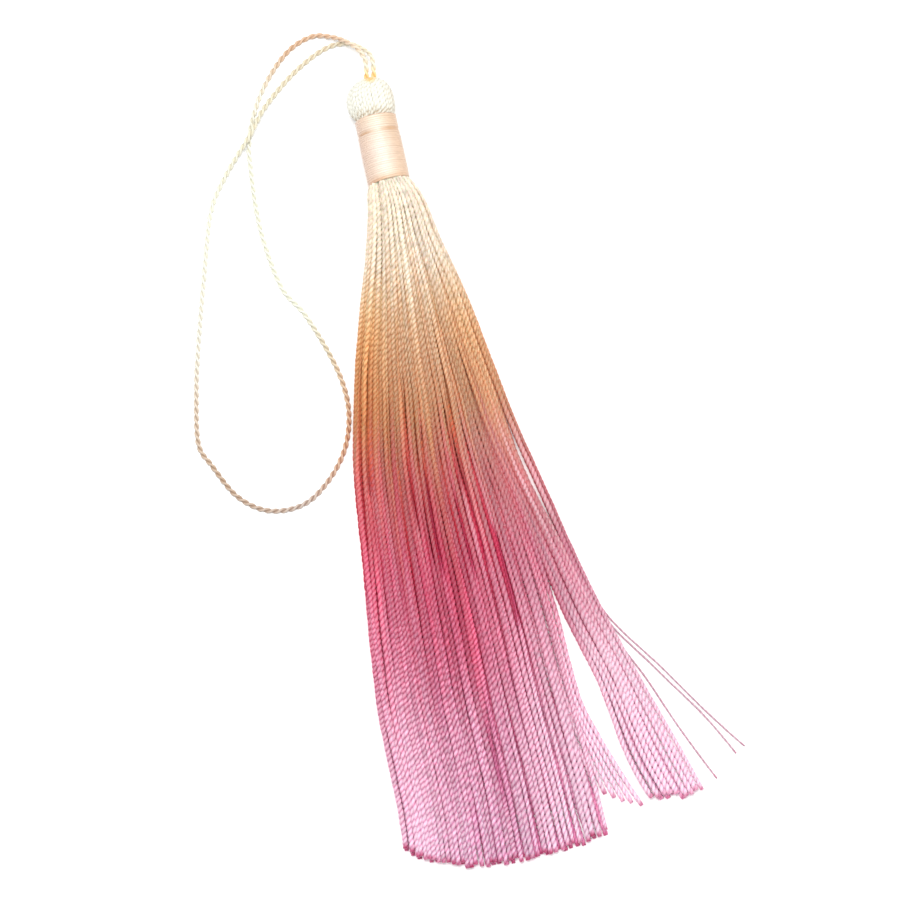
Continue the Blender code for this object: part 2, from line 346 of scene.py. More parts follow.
class YarnMesh:
    """Gathers swept lengths of yarn and joins them to one mesh object."""

    # Heights on the outline, from 1 at its top to -1 at its bottom, where the painted shade on a
    # yarn's sheltered lower side starts and where it is full.
    PAINTED_SHADE_START = 0.45
    PAINTED_SHADE_FULL = -0.45

    def __init__(self, section: PlySection, twist: Twist) -> None:
        """Start an empty mesh.

        Args:
            section: The yarn's outline.
            twist: The way its plies wind.
        """
        self.across, self.beside, self.depth = section.columns()
        self.twist = twist
        self.points: list[np.ndarray] = []
        self.colors: list[np.ndarray] = []
        self.quads: list[np.ndarray] = []
        self.quad_uvs: list[np.ndarray] = []
        self.caps: list[np.ndarray] = []
        self.count = 0

    def add(self, run: YarnRun) -> None:
        """Sweep one length of yarn and keep its faces.

        Args:
            run: The length of yarn.
        """
        along = np.gradient(run.points, axis=0)
        along /= np.linalg.norm(along, axis=1)[:, None]
        side = np.cross(along, np.broadcast_to(run.up, run.points.shape))
        side /= np.linalg.norm(side, axis=1)[:, None]
        above = np.cross(side, along)
        length = walked(run.points)
        turns = math.tau * np.diff(length) / (0.5 * (run.lays[1:] + run.lays[:-1]))
        turn = run.start_turn + self.twist.value * np.concatenate(([0.0], np.cumsum(turns)))
        cos, sin = np.cos(turn)[:, None], np.sin(turn)[:, None]
        right = (self.across * cos - self.beside * sin) * run.widths[:, None]
        facing = self.across * sin + self.beside * cos
        up = facing * run.widths[:, None]
        rings = run.points[:, None, :] + right[..., None] * side[:, None, :]
        rings = rings + up[..., None] * above[:, None, :]
        # Painted light and shade: each point takes the ridge colour on the ply backs, and the
        # groove colour as far as it lies in the groove between them.
        tint = mix(run.ridge[:, None, :], run.groove[:, None, :], self.depth[:, None])
        # Painted shade: the lower, sheltered side takes the under colour in place of its shade.
        if run.under is not None:
            painted_shade = climb(2 * facing, self.PAINTED_SHADE_START, self.PAINTED_SHADE_FULL)[..., None]
            tint = mix(tint, run.under[:, None, :], painted_shade)
        self._keep(rings, tint, length)

    def _keep(self, rings: np.ndarray, tint: np.ndarray, length: np.ndarray) -> None:
        """Store one swept length.

        Args:
            rings: Points, ring by ring.
            tint: Screen colours, ring by ring.
            length: The distance of each ring from the first.
        """
        count, sides = rings.shape[:2]
        first = np.arange(count - 1)[:, None] * sides + np.arange(sides)
        ahead = np.arange(count - 1)[:, None] * sides + (np.arange(sides) + 1) % sides
        quads = np.stack((first, first + sides, ahead + sides, ahead), axis=-1).reshape(-1, 4)
        low = np.broadcast_to(np.arange(sides) / sides, first.shape)
        near = np.broadcast_to(length[:-1, None], first.shape)
        far = np.broadcast_to(length[1:, None], first.shape)
        high = low + 1.0 / sides
        corners = (near, low, far, low, far, high, near, high)
        uvs = np.stack(corners, axis=-1).reshape(-1, 4, 2)
        self.points.append(rings.reshape(-1, 3))
        self.colors.append(tint.reshape(-1, 3))
        self.quads.append(quads + self.count)
        self.quad_uvs.append(uvs)
        self.caps.append(np.arange(sides) + self.count)
        self.caps.append(np.arange(sides)[::-1] + self.count + (count - 1) * sides)
        self.count += count * sides

    def build(self, name: str) -> bpy.types.Object:
        """Join everything that was added to one object.

        Args:
            name: The object's name.

        Returns:
            The object, linked to the scene, with a colour attribute and a UV map.
        """
        points = to_world(np.concatenate(self.points))
        quads = np.concatenate(self.quads)
        caps = np.stack(self.caps)
        sides = caps.shape[1]
        data = bpy.data.meshes.new(name)
        data.vertices.add(len(points))
        data.vertices.foreach_set("co", points.astype(np.float32).ravel())
        data.loops.add(quads.size + caps.size)
        data.loops.foreach_set("vertex_index", np.concatenate((quads.ravel(), caps.ravel())))
        data.polygons.add(len(quads) + len(caps))
        starts = (np.arange(len(quads)) * 4, quads.size + np.arange(len(caps)) * sides)
        data.polygons.foreach_set("loop_start", np.concatenate(starts))
        smooth = np.concatenate((np.ones(len(quads), bool), np.zeros(len(caps), bool)))
        data.polygons.foreach_set("use_smooth", smooth)
        data.update(calc_edges=True)
        uv = data.uv_layers.new(name="yarn")
        cap_uvs = np.zeros((caps.size, 2))
        flat = np.concatenate((np.concatenate(self.quad_uvs).reshape(-1, 2), cap_uvs))
        uv.data.foreach_set("uv", flat.astype(np.float32).ravel())
        # The colour attribute holds the yarn's own colours with painted light and shade in them.
        dye_and_painted_light = data.color_attributes.new("dye_and_painted_light", "FLOAT_COLOR", "POINT")
        tint = np.ones((len(points), 4))
        tint[:, :3] = to_linear(np.concatenate(self.colors))
        dye_and_painted_light.data.foreach_set("color", tint.astype(np.float32).ravel())
        data.validate()
        item = bpy.data.objects.new(name, data)
        bpy.context.scene.collection.objects.link(item)
        return item


# --- Finishes ---------------------------------------------


class FibreGroup:
    """The fine filaments that run along every yarn here, as one shared node group."""

    NAME = "fine_filaments"
    DETAIL = 2.0
    SHADE_FROM = (0.3, 0.7)
    SHADE_TO = (0.9, 1.06)

    @classmethod
    def get(cls) -> bpy.types.NodeTree:
        """Return the group, built on first use.

        Returns:
            A group with the inputs Coarseness and Lean, and the outputs Height and Shade.
        """
        found = bpy.data.node_groups.get(cls.NAME)
        if found is not None:
            return found
        group = bpy.data.node_groups.new(cls.NAME, "ShaderNodeTree")
        for way, names in (("INPUT", ("Coarseness", "Lean")), ("OUTPUT", ("Height", "Shade"))):
            for name in names:
                group.interface.new_socket(name, in_out=way, socket_type="NodeSocketFloat")
        nodes, links = group.nodes, group.links
        given = nodes.new("NodeGroupInput")
        result = nodes.new("NodeGroupOutput")
        uv = nodes.new("ShaderNodeUVMap")
        uv.uv_map = "yarn"
        parts = nodes.new("ShaderNodeSeparateXYZ")
        links.new(uv.outputs["UV"], parts.inputs["Vector"])
        lean = nodes.new("ShaderNodeMath")
        lean.operation = "MULTIPLY_ADD"
        links.new(parts.outputs["X"], lean.inputs[0])
        links.new(given.outputs["Lean"], lean.inputs[1])
        links.new(parts.outputs["Y"], lean.inputs[2])
        around = nodes.new("ShaderNodeMath")
        around.operation = "MULTIPLY"
        links.new(lean.outputs[0], around.inputs[0])
        links.new(given.outputs["Coarseness"], around.inputs[1])
        spot = nodes.new("ShaderNodeCombineXYZ")
        links.new(parts.outputs["X"], spot.inputs["X"])
        links.new(around.outputs[0], spot.inputs["Y"])
        noise = nodes.new("ShaderNodeTexNoise")
        noise.inputs["Scale"].default_value = 1.0
        noise.inputs["Detail"].default_value = cls.DETAIL
        links.new(spot.outputs[0], noise.inputs["Vector"])
        links.new(noise.outputs["Fac"], result.inputs["Height"])
        shade = nodes.new("ShaderNodeMapRange")
        for end, source, result_value in zip(("Min", "Max"), cls.SHADE_FROM, cls.SHADE_TO):
            shade.inputs["From " + end].default_value = source
            shade.inputs["To " + end].default_value = result_value
        links.new(noise.outputs["Fac"], shade.inputs["Value"])
        links.new(shade.outputs["Result"], result.inputs["Shade"])
        return group


@dataclass(frozen=True)
class YarnFinish:
    """A glossy filament yarn, coloured by its mesh's own colours, which hold painted light and
    shade.

    Attributes:
        name: The material's name.
        roughness: How spread its highlights are.
        specular: How strong its highlights are.
        sheen: How much its fine fibres glow at grazing angles.
        coarseness: How many filaments show round the yarn.
        lean: How fast the filaments wind against the plies.
        relief: How deep the filaments are, in metres.
        relief_share: How strongly that shows.
        glow: How much light soaks through the yarn.
        glow_color: How far each colour of it goes, as a share of its depth.
        glow_depth: How deep it goes, in metres.
    """

    name: str
    roughness: float
    specular: float
    sheen: float
    coarseness: float
    lean: float
    relief: float
    relief_share: float = 0.6
    glow: float = 0.0
    glow_color: Color = (1.0, 0.55, 0.6)
    glow_depth: float = 0.0006

    def material(self) -> bpy.types.Material:
        """Build the material.

        Returns:
            A material that reads the mesh's colours, with their painted light and shade, and its UV
            map.
        """
        material = bpy.data.materials.new(self.name)
        material.use_nodes = True
        nodes, links = material.node_tree.nodes, material.node_tree.links
        shader = nodes["Principled BSDF"]
        shader.inputs["Roughness"].default_value = self.roughness
        shader.inputs["Specular IOR Level"].default_value = self.specular
        shader.inputs["Sheen Weight"].default_value = self.sheen
        shader.inputs["Subsurface Weight"].default_value = self.glow
        shader.inputs["Subsurface Radius"].default_value = self.glow_color
        shader.inputs["Subsurface Scale"].default_value = self.glow_depth
        # The mesh's colours, which hold painted light and shade.
        dye_and_painted_light = nodes.new("ShaderNodeAttribute")
        dye_and_painted_light.attribute_name = "dye_and_painted_light"
        fibres = nodes.new("ShaderNodeGroup")
        fibres.node_tree = FibreGroup.get()
        fibres.inputs["Coarseness"].default_value = self.coarseness
        fibres.inputs["Lean"].default_value = self.lean
        tint = nodes.new("ShaderNodeVectorMath")
        tint.operation = "SCALE"
        links.new(dye_and_painted_light.outputs["Color"], tint.inputs[0])
        links.new(fibres.outputs["Shade"], tint.inputs["Scale"])
        links.new(tint.outputs["Vector"], shader.inputs["Base Color"])
        bump = nodes.new("ShaderNodeBump")
        bump.inputs["Strength"].default_value = self.relief_share
        bump.inputs["Distance"].default_value = self.relief
        links.new(fibres.outputs["Height"], bump.inputs["Height"])
        links.new(bump.outputs["Normal"], shader.inputs["Normal"])
        return material


@dataclass(frozen=True)
class CoreFinish:
    """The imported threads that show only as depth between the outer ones.

    Attributes:
        name: The material's name.
        color: Its screen colour from 0 to 255.
        shade: How much of its light is left in its darkest streaks.
        spread: The noise's values between which streaks turn from dark to light.
        stretch: How dense the streaks are across the neck, along it and upwards, to the metre.
        roughness: How spread its highlights are.
    """

    name: str
    color: Color
    shade: float = 0.6
    spread: Span = (0.3, 0.7)
    stretch: tuple[float, float, float] = (1500.0, 250.0, 1500.0)
    roughness: float = 0.7

    def material(self) -> bpy.types.Material:
        """Build the material, uneven like threads seen in shade.

        Returns:
            A material that reads the mesh's own places.
        """
        material = bpy.data.materials.new(self.name)
        material.use_nodes = True
        nodes, links = material.node_tree.nodes, material.node_tree.links
        shader = nodes["Principled BSDF"]
        shader.inputs["Roughness"].default_value = self.roughness
        place = nodes.new("ShaderNodeTexCoord")
        stretch = nodes.new("ShaderNodeMapping")
        stretch.inputs["Scale"].default_value = self.stretch
        links.new(place.outputs["Object"], stretch.inputs["Vector"])
        noise = nodes.new("ShaderNodeTexNoise")
        noise.inputs["Scale"].default_value = 1.0
        links.new(stretch.outputs["Vector"], noise.inputs["Vector"])
        ramp = nodes.new("ShaderNodeValToRGB")
        light = to_linear(np.array(self.color))
        stops = zip(ramp.color_ramp.elements, self.spread, (light * self.shade, light))
        for stop, position, color in stops:
            stop.position = position
            stop.color = (*color, 1.0)
        links.new(noise.outputs["Fac"], ramp.inputs["Fac"])
        links.new(ramp.outputs["Color"], shader.inputs["Base Color"])
        return material


@dataclass(frozen=True)
class FloorFinish:
    """The plain pale surface that the tassel lies on.

    Attributes:
        name: The material's name.
        color: Its colour in linear light.
        roughness: How spread its highlights are.
        specular: How strong they are.
    """

    name: str = "pale_floor"
    color: Color = (0.93, 0.93, 0.93)
    roughness: float = 0.9
    specular: float = 0.1

    def material(self) -> bpy.types.Material:
        """Build the material.

        Returns:
            A plain material.
        """
        material = bpy.data.materials.new(self.name)
        material.use_nodes = True
        shader = material.node_tree.nodes["Principled BSDF"]
        shader.inputs["Base Color"].default_value = (*self.color, 1.0)
        shader.inputs["Roughness"].default_value = self.roughness
        shader.inputs["Specular IOR Level"].default_value = self.specular
        return material


# --- Camera, light and floor ------------------------------


@dataclass
class Studio:
    """Plain pale floor, soft light from above, and the camera over the tassel.

    Attributes:
        target: The point in the picture's middle, in millimetres in the neck's frame.
        lean: How far the picture's upright is turned from the neck, in degrees.
        elevation: The camera's angle above the surface, in degrees.
        distance: The camera's distance, in millimetres.
        pixels_per_mm: The picture's scale at the target.
        picture: The picture's width in pixels, for that scale.
        sensor: The camera's sensor width, in millimetres.
        clip: The nearest and the farthest that the camera sees, in metres.
        sky: How bright the room is.
        lamps: Rows of a lamp's name, its place from the target, its side and its power, in
            metres and watts.
        floor_side: The floor's side in metres.
    """

    target: tuple[float, float, float] = (0.65, -45.0, 0.0)
    lean: float = 12.0
    elevation: float = 80.0
    distance: float = 800.0
    pixels_per_mm: float = 6.12
    picture: int = 900
    sensor: float = 36.0
    clip: Span = (0.05, 10.0)
    sky: float = 0.65
    lamps: tuple[tuple[str, tuple[float, float, float], float, float], ...] = (
        ("top_softbox", (-0.06, 0.1, 1.1), 0.45, 11.0),
        ("side_softbox", (0.6, 0.1, 0.7), 0.4, 2.0),
    )
    floor_side: float = 6.0

    def axes(self) -> tuple[Vector, Vector, Vector]:
        """Work out how the picture lies in the world.

        Returns:
            The picture's right, its up, and the way back to the camera.
        """
        lean = math.radians(self.lean)
        right = Vector((math.cos(lean), -math.sin(lean), 0.0))
        ahead = Vector((math.sin(lean), math.cos(lean), 0.0))
        height = math.radians(self.elevation)
        back = -ahead * math.cos(height) + Vector((0.0, 0.0, math.sin(height)))
        return right, back.cross(right), back

    def place_camera(self) -> None:
        """Make the scene's camera."""
        right, up, back = self.axes()
        data = bpy.data.cameras.new("camera")
        data.sensor_width = self.sensor
        focal_pixels = self.pixels_per_mm * self.distance
        data.lens = focal_pixels * self.sensor / self.picture
        data.clip_start, data.clip_end = self.clip
        camera = bpy.data.objects.new("camera", data)
        bpy.context.scene.collection.objects.link(camera)
        turn = Matrix((right, up, back)).transposed()
        middle = Vector(to_world(np.array(self.target)))
        camera.matrix_world = Matrix.Translation(middle + back * self.distance * MM) @ turn.to_4x4()
        bpy.context.scene.camera = camera

    def light(self) -> None:
        """Make soft studio light: a bright room and two broad lamps above."""
        world = bpy.data.worlds.new("studio")
        world.use_nodes = True
        sky = world.node_tree.nodes["Background"]
        sky.inputs["Color"].default_value = (1.0, 1.0, 1.0, 1.0)
        sky.inputs["Strength"].default_value = self.sky
        bpy.context.scene.world = world
        middle = Vector(to_world(np.array(self.target)))
        for name, offset, size, power in self.lamps:
            self._lamp(name, middle, Vector(offset), size, power)
        bpy.context.scene.view_settings.view_transform = "Standard"

    def _lamp(self, name: str, middle: Vector, offset: Vector, size: float, power: float) -> None:
        """Make one square lamp that faces the tassel.

        Args:
            name: The lamp's name.
            middle: The point that it faces.
            offset: Where it stands from that point, in metres.
            size: Its side in metres.
            power: Its power in watts.
        """
        data = bpy.data.lights.new(name, "AREA")
        data.shape = "SQUARE"
        data.size = size
        data.energy = power
        lamp = bpy.data.objects.new(name, data)
        bpy.context.scene.collection.objects.link(lamp)
        lamp.location = middle + offset
        lamp.rotation_mode = "QUATERNION"
        lamp.rotation_quaternion = offset.to_track_quat("Z", "Y")

    def lay_floor(self) -> bpy.types.Object:
        """Make the floor, with its pale finish.

        Returns:
            The floor.
        """
        clear_selection()
        bpy.ops.mesh.primitive_plane_add(size=self.floor_side, location=(0.0, 0.0, 0.0))
        floor = bpy.context.active_object
        floor.name = floor.data.name = "floor"
        floor.data.materials.append(FloorFinish().material())
        return floor


def clear_selection() -> None:
    """Deselect every object, so that an operator acts on the new one alone."""
    for item in bpy.context.view_layer.objects:
        item.select_set(False)


def settle(item: bpy.types.Object, material: bpy.types.Material) -> None:
    """Dress a finished piece and let it ride on the tassel's body.

    Args:
        item: The piece.
        material: Its material.
    """
    item.data.materials.clear()
    item.data.materials.append(material)
    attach(item, "root")


# --- The hanging cord -------------------------------------


@dataclass
class HangingCord:
    """The doubled cord: out of the head, round the loop and back.

    Attributes:
        width: Its thickness.
        lay: The length of one full turn of its plies.
        step: The distance between its rings.
        rooted: How far each end reaches in between the head's threads.
        start_turn: The angle of its plies at its first ring, in radians.
        fine: Points between two of the route's own, from which even steps are read.
        route: Its middle line as it lies, from the head round the loop and back.
        ridge: The colour of the plies' backs by distance from the first ring, with painted light.
        groove: The colour between the plies, with painted shade.
        finish: Its finish.
    """

    width: float = 0.9
    lay: float = 2.6
    step: float = 0.2
    rooted: float = 1.2
    start_turn: float = 0.4
    fine: int = 20
    route: tuple[tuple[float, float, float], ...] = (
        (0.0, 18.25, 4.1), (0.25, 19.7, 4.2), (0.3, 21.3, 4.15), (-0.45, 23.3, 3.45),
        (-1.9, 25.1, 2.45), (-4.0, 26.7, 1.3), (-7.2, 27.75, 0.5), (-11.3, 26.35, 0.45),
        (-15.3, 22.8, 0.45), (-18.55, 18.35, 0.45), (-20.9, 13.0, 0.45), (-21.8, 7.5, 0.45),
        (-22.25, -2.4, 0.45), (-20.9, -12.5, 0.45), (-18.1, -17.8, 0.45), (-15.6, -24.6, 0.45),
        (-14.25, -30.6, 0.45), (-14.35, -36.0, 0.45), (-16.2, -41.4, 0.45), (-19.8, -45.9, 0.45),
        (-24.5, -48.9, 0.45), (-30.2, -48.8, 0.45), (-34.8, -45.5, 0.45), (-37.9, -39.6, 0.45),
        (-39.35, -35.5, 0.45), (-38.1, -27.6, 0.45), (-36.3, -20.2, 0.45), (-32.9, -8.4, 0.45),
        (-29.6, 2.1, 0.45), (-25.9, 7.6, 0.75), (-21.2, 12.6, 1.8), (-19.4, 14.9, 1.65),
        (-17.2, 17.6, 1.05), (-12.5, 21.6, 0.45), (-7.8, 24.4, 0.45), (-4.2, 25.55, 0.5),
        (-1.3, 24.95, 1.25), (0.75, 22.95, 2.95), (1.55, 21.1, 4.0), (1.25, 18.2, 4.1),
    )
    # The cord's own colours, with painted light on the ply backs and painted shade between them.
    ridge: Palette = Palette((
        (1.4, 240, 206, 142), (2.6, 228, 222, 202), (7.5, 226, 208, 184), (12.0, 212, 180, 152),
        (20.0, 206, 172, 142), (29.0, 226, 222, 206), (40.0, 226, 226, 212),
        (68.0, 224, 224, 210), (76.0, 212, 200, 174), (90.0, 208, 166, 132),
        (104.0, 192, 176, 164), (120.0, 186, 162, 140), (133.0, 214, 200, 182),
        (142.0, 224, 224, 212), (166.0, 226, 226, 212), (182.0, 216, 212, 190),
        (200.0, 214, 204, 178), (211.5, 228, 222, 202), (213.0, 240, 206, 142),
    ))
    groove: Palette = Palette((
        (1.4, 212, 158, 88), (2.6, 200, 188, 160), (7.5, 190, 164, 138), (12.0, 182, 146, 118),
        (20.0, 174, 136, 104), (29.0, 196, 184, 162), (40.0, 196, 196, 174),
        (68.0, 194, 194, 172), (76.0, 160, 144, 118), (90.0, 158, 98, 68), (104.0, 138, 112, 98),
        (120.0, 142, 112, 86), (133.0, 160, 138, 118), (142.0, 188, 178, 160),
        (166.0, 206, 206, 186), (182.0, 192, 182, 154), (200.0, 184, 164, 136),
        (211.5, 200, 188, 160), (213.0, 212, 158, 88),
    ))
    finish: YarnFinish = YarnFinish(
        name="cream_cord", roughness=0.5, specular=0.4, sheen=0.2, coarseness=18.0,
        lean=-0.5, relief=0.00004,
    )

    def line(self) -> np.ndarray:
        """Return points at even distances along the smooth curve through the route and its ends.

        Returns:
            Rows of x, y, z in millimetres.
        """
        knots = np.array(self.route)
        padded = np.vstack((knots[:1], knots, knots[-1:]))
        step = (np.arange(self.fine) / self.fine)[:, None]
        stretches = []
        for before, start, end, after in zip(padded, padded[1:], padded[2:], padded[3:]):
            stretch = mix(start, end, ease(step))
            stretch = stretch + (end - before) / 2 * (step * (1 - step) ** 2)
            stretches.append(stretch - (after - start) / 2 * (step * step * (1 - step)))
        dense = np.concatenate((*stretches, knots[-1:]))
        lengths = walked(dense)
        goals = np.linspace(0.0, lengths[-1], round(lengths[-1] / self.step) + 1)
        points = np.stack([np.interp(goals, lengths, dense[:, c]) for c in range(3)], axis=-1)
        inside = np.arange(round(self.rooted / self.step), 0, -1)[:, None]
        start = points[0] + inside * (points[0] - points[1])
        end = points[-1] + inside[::-1] * (points[-1] - points[-2])
        return np.concatenate((start, points, end))

    def build(self) -> bpy.types.Object:
        """Returns:
            The cord's object.
        """
        points = self.line()
        length = self.step * np.arange(len(points))
        mesh = YarnMesh(FINE_YARN, Twist.RIGHT)
        mesh.add(
            YarnRun(
                points=points,
                widths=np.full(len(points), self.width),
                lays=np.full(len(points), self.lay),
                ridge=self.ridge.at(length),
                groove=self.groove.at(length),
                start_turn=self.start_turn,
                up=UPWARDS,
            )
        )
        item = mesh.build("hanging_cord_twist")
        settle(item, self.finish.material())
        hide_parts("hanging_cord")
        return item


# --- The skirt --------------------------------------------


class Part(Enum):
    """The parts that the skirt falls into towards its cut ends."""

    MAIN = "main"
    SHORT = "short"
    LOCK = "lock"
    STRAY = "stray"


class Form(IntEnum):
    """The columns of the table of the pile's form."""

    DROP = 0
    LEFT = 1
    RIGHT = 2
    UNDERSIDE = 3
    HEIGHT = 4
    EDGE_HEIGHT = 5
    SETTLED = 6


class Edge(IntEnum):
    """The columns of the table of how the skirt parts."""

    DROP = 0
    UPPER_MAIN = 1
    LOWER_MAIN = 2
    SHORT = 3
    LOCK = 4


@dataclass
class Thread:
    """One thread of the skirt and its place among the others.

    Attributes:
        row: Its row under the binding, from the surface up.
        turn: Its place in the order in which its layer fans out.
        upper: Whether it ends in the upper layer.
        part: The part of the skirt that it ends in.
        number: Its number in that part.
        share: Its place across its whole layer, from 0 to 1.
        part_share: Its place across that part, from 0 to 1.
    """

    row: int
    turn: float
    upper: bool
    part: Part = Part.MAIN
    number: int = 0
    share: float = 0.0
    part_share: float = 0.0

    def ends_in(self, upper: bool, *parts: Part) -> bool:
        """Tell whether the thread ends in a layer and in one of some parts of it."""
        return self.upper is upper and self.part in parts


@dataclass
class SkirtDyeAndPaintedLight:
    """The colours of the skirt's threads, with painted light and shade in them.

    Where nothing else is said, a Span holds the two places between which something sets in, or
    the range of a number that differs from thread to thread.

    Attributes:
        ridge, groove: The colours of the plies' backs and between the plies, by drop, with painted
        light on the backs and painted shade between them.
        deep, deep_groove: The colour of what lies between and below the outer threads, by drop,
            painted
        as their shade, and how much of it is left between the plies.
        under, under_shade_most: The colour of the outer threads' own sheltered sides by drop,
            painted as
        their shade, and the brightest that it gets.
        lit: How much of each channel of the deep colour's painted shade is left in the upper layer.
        pale, pale_under_shade, pale_groove: The colour that faded threads tend to, the painted
            shade of
        their sheltered sides, and how much of the fading reaches between the plies.
        dusty, stray_grey_groove, dusting: The greyer colour that the stray threads tend to, how
            much of
        it is left between the plies, and how strong it is by drop.
        cut_color: The colour of the cut ends.
        right_side, left_side: Places across the skirt between which each side begins.
        right_fading, left_fading: How far the threads of each side are faded, by drop.
        right_flank, right_gold: Where the right side's golden tone begins, and its strength.
        middle_reach: How far from the skirt's middle its own tone reaches.
        own_drift, band_share: Each thread's own unevenness of shade, and how much the
            unevenness that neighbours share adds to it.
        dip, band_dip, band_grows: How far up or down each thread was dipped into the dyebath, how
        far neighbours were dipped together, and how much of that shows by drop.
        uneven, cloud: How strong slow changes of tone are by drop, and their waves.
        grain, fine_painted_glint, coarse_painted_glint: The same for quick ones, painted glints as
        light plays on the plies.
        band_tone: How much neighbours change tone together.
        middle_light: How much lighter the middle is, by drop.
        golden, golden_loss: How much golden colour the flanks were dyed, by drop, and what that and
        the inner rows' painted golden light take from each colour channel.
        inner_rows, inner_gold: The upper layer's lowest rows under the binding, and the painted
            golden
        light that they take from the threads around them, by drop.
        inner_middle: How far from the skirt's middle that ends, and where it is full.
        redder, redder_loss: The same as the flanks' golden colour, for the redder dyed middle.
        banding, left_calm: How far dark and light bands show by drop, and how far the left side
            lacks them.
        dark_bands, light_bands: How strong they are, from where in the unevenness they start,
            and how far they go.
        shown: How far the deep colour, as painted shade, shows on a sunken thread, by drop.
        lower_lock: How far it shows in the lock's lower threads.
        lower_bounds, lower_top, lower_end, lower_left: Drops between which it changes in the
            skirt's lower threads, its range at each, and how far the left side lacks the last.
        paleness, paling: How far each part is faded near its cut ends, and where that sets in.
        highlit_threads, painted_highlight_spot: The lock's upper threads that get a painted
            highlight where the
        right edge comes loose, and the drop of that, its reach and its strength.
        cut_depth, cut_reach, cut_light: How dark the cut ends are, how far before the end that
            sets in, and how much of it there is outside the main part.
        dull, dull_loss: How far the lock is dulled, by drop, and what that takes.
        shared_tone: The unevenness that neighbours share.
    """

    # The threads' own colours, with painted light on the ply backs and painted shade between them.
    ridge: Palette = Palette((
        (0.0, 222, 202, 188), (12.0, 214, 201, 187), (24.0, 204, 172, 142), (38.0, 172, 128, 96),
        (50.0, 174, 97, 97), (64.0, 178, 94, 112), (78.0, 192, 121, 144), (92.0, 206, 156, 177),
        (110.0, 206, 171, 190),
    ))
    groove: Palette = Palette((
        (0.0, 212, 212, 185), (12.0, 193, 176, 148), (24.0, 164, 114, 74), (38.0, 168, 102, 66),
        (50.0, 162, 63, 63), (64.0, 162, 48, 76), (78.0, 147, 40, 70), (92.0, 150, 62, 96),
        (110.0, 172, 95, 134),
    ))
    # Painted shade: the colour of what lies between and below the outer threads.
    deep: Palette = Palette((
        (0.0, 252, 248, 236), (12.0, 242, 232, 198), (24.0, 194, 132, 70), (38.0, 196, 110, 66),
        (50.0, 176, 48, 56), (64.0, 176, 18, 56), (78.0, 176, 28, 68), (92.0, 168, 42, 88),
        (110.0, 220, 86, 150),
    ))
    deep_groove: float = 0.92
    # Painted shade: the colour of the outer threads' sheltered sides.
    under: Palette = Palette((
        (0.0, 255, 238, 206), (12.0, 250, 214, 166), (24.0, 244, 172, 112), (38.0, 240, 136, 94),
        (50.0, 248, 90, 94), (64.0, 248, 72, 108), (78.0, 252, 112, 152), (92.0, 252, 150, 190),
        (110.0, 252, 178, 210),
    ))
    lit: Color = (0.84, 0.86, 0.95)
    under_shade_most: float = 250.0
    pale: Color = (246.0, 224.0, 236.0)
    pale_under_shade: Color = (252.0, 196.0, 222.0)
    pale_groove: float = 0.8
    stray_grey: Color = (180.0, 150.0, 162.0)
    cut_color: Color = (150.0, 36.0, 76.0)
    right_side: Span = (0.48, 0.7)
    left_side: Span = (0.3, 0.1)
    right_flank: Span = (0.62, 0.82)
    right_gold: float = 0.6
    middle_reach: float = 0.3
    right_fading: Course = Course((30.0, 44.0, 62.0, 76.0, 110.0), (0.06, 0.16, 0.24, 0.38, 0.5))
    left_fading: Course = Course((62.0, 78.0, 88.0, 110.0), (0.0, 0.1, 0.26, 0.36))
    own_drift: Wander = Wander(1.0, 30.0, 90.0)
    band_share: float = 0.3
    dip: float = 1.8
    band_dip: float = 1.7
    band_grows: Course = Course((15.0, 40.0), (0.2, 1.0))
    uneven: Course = Course((0.0, 22.0, 45.0, 70.0, 95.0), (0.02, 0.03, 0.06, 0.06, 0.04))
    cloud: Wander = Wander(1.0, 12.0, 60.0)
    fine_painted_glint: Wander = Wander(1.0, 1.0, 2.2)
    coarse_painted_glint: Wander = Wander(1.0, 1.7, 3.6)
    painted_glint: Course = Course((0.0, 20.0, 40.0, 66.0, 80.0), (0.06, 0.06, 0.02, 0.02, 0.07))
    band_tone: float = 0.02
    middle_light: Course = Course((2.0, 7.0, 14.0, 22.0), (0.0, 0.06, 0.05, 0.0))
    golden: Course = Course((14.0, 26.0, 36.0, 46.0), (0.0, 1.0, 0.9, 0.0))
    inner_rows: tuple[int, ...] = (4, 5)
    inner_gold: Course = Course((0.0, 3.0, 18.0, 28.0), (0.2, 0.5, 0.5, 0.0))
    inner_middle: Span = (0.5, 0.25)
    golden_loss: Color = (-0.02, 0.06, 0.2)
    redder: Course = Course((58.0, 68.0, 78.0, 88.0), (0.0, 1.0, 1.0, 0.0))
    redder_loss: Color = (0.0, 0.2, 0.13)
    banding: Course = Course((34.0, 52.0, 64.0, 80.0), (0.0, 1.0, 1.0, 0.6))
    left_calm: Course = Course((66.0, 82.0), (0.0, 0.8))
    dark_bands: Span = (0.55, 0.4)
    light_bands: tuple[float, float, float] = (0.2, 0.25, 1.2)
    shown: Course = Course((34.0, 50.0, 64.0, 84.0), (0.5, 0.85, 0.85, 0.5))
    lower_lock: float = 0.35
    lower_bounds: Span = (62.0, 86.0)
    lower_top: Span = (0.7, 0.95)
    lower_end: Span = (0.25, 0.65)
    lower_left: float = 0.6
    paleness: dict[Part, float] = field(
        default_factory=lambda: {
            Part.MAIN: 0.0, Part.SHORT: 0.66, Part.LOCK: 0.62, Part.STRAY: 0.25,
        }
    )
    paling: Span = (58.0, 84.0)
    highlit_threads: tuple[int, ...] = (4, 6, 7)
    painted_highlight_spot: tuple[float, float, float] = (54.0, 12.0, 0.3)
    stray_greying: Course = Course((66.0, 80.0), (0.0, 0.85))
    stray_grey_groove: float = 0.85
    cut_depth: Span = (0.35, 0.9)
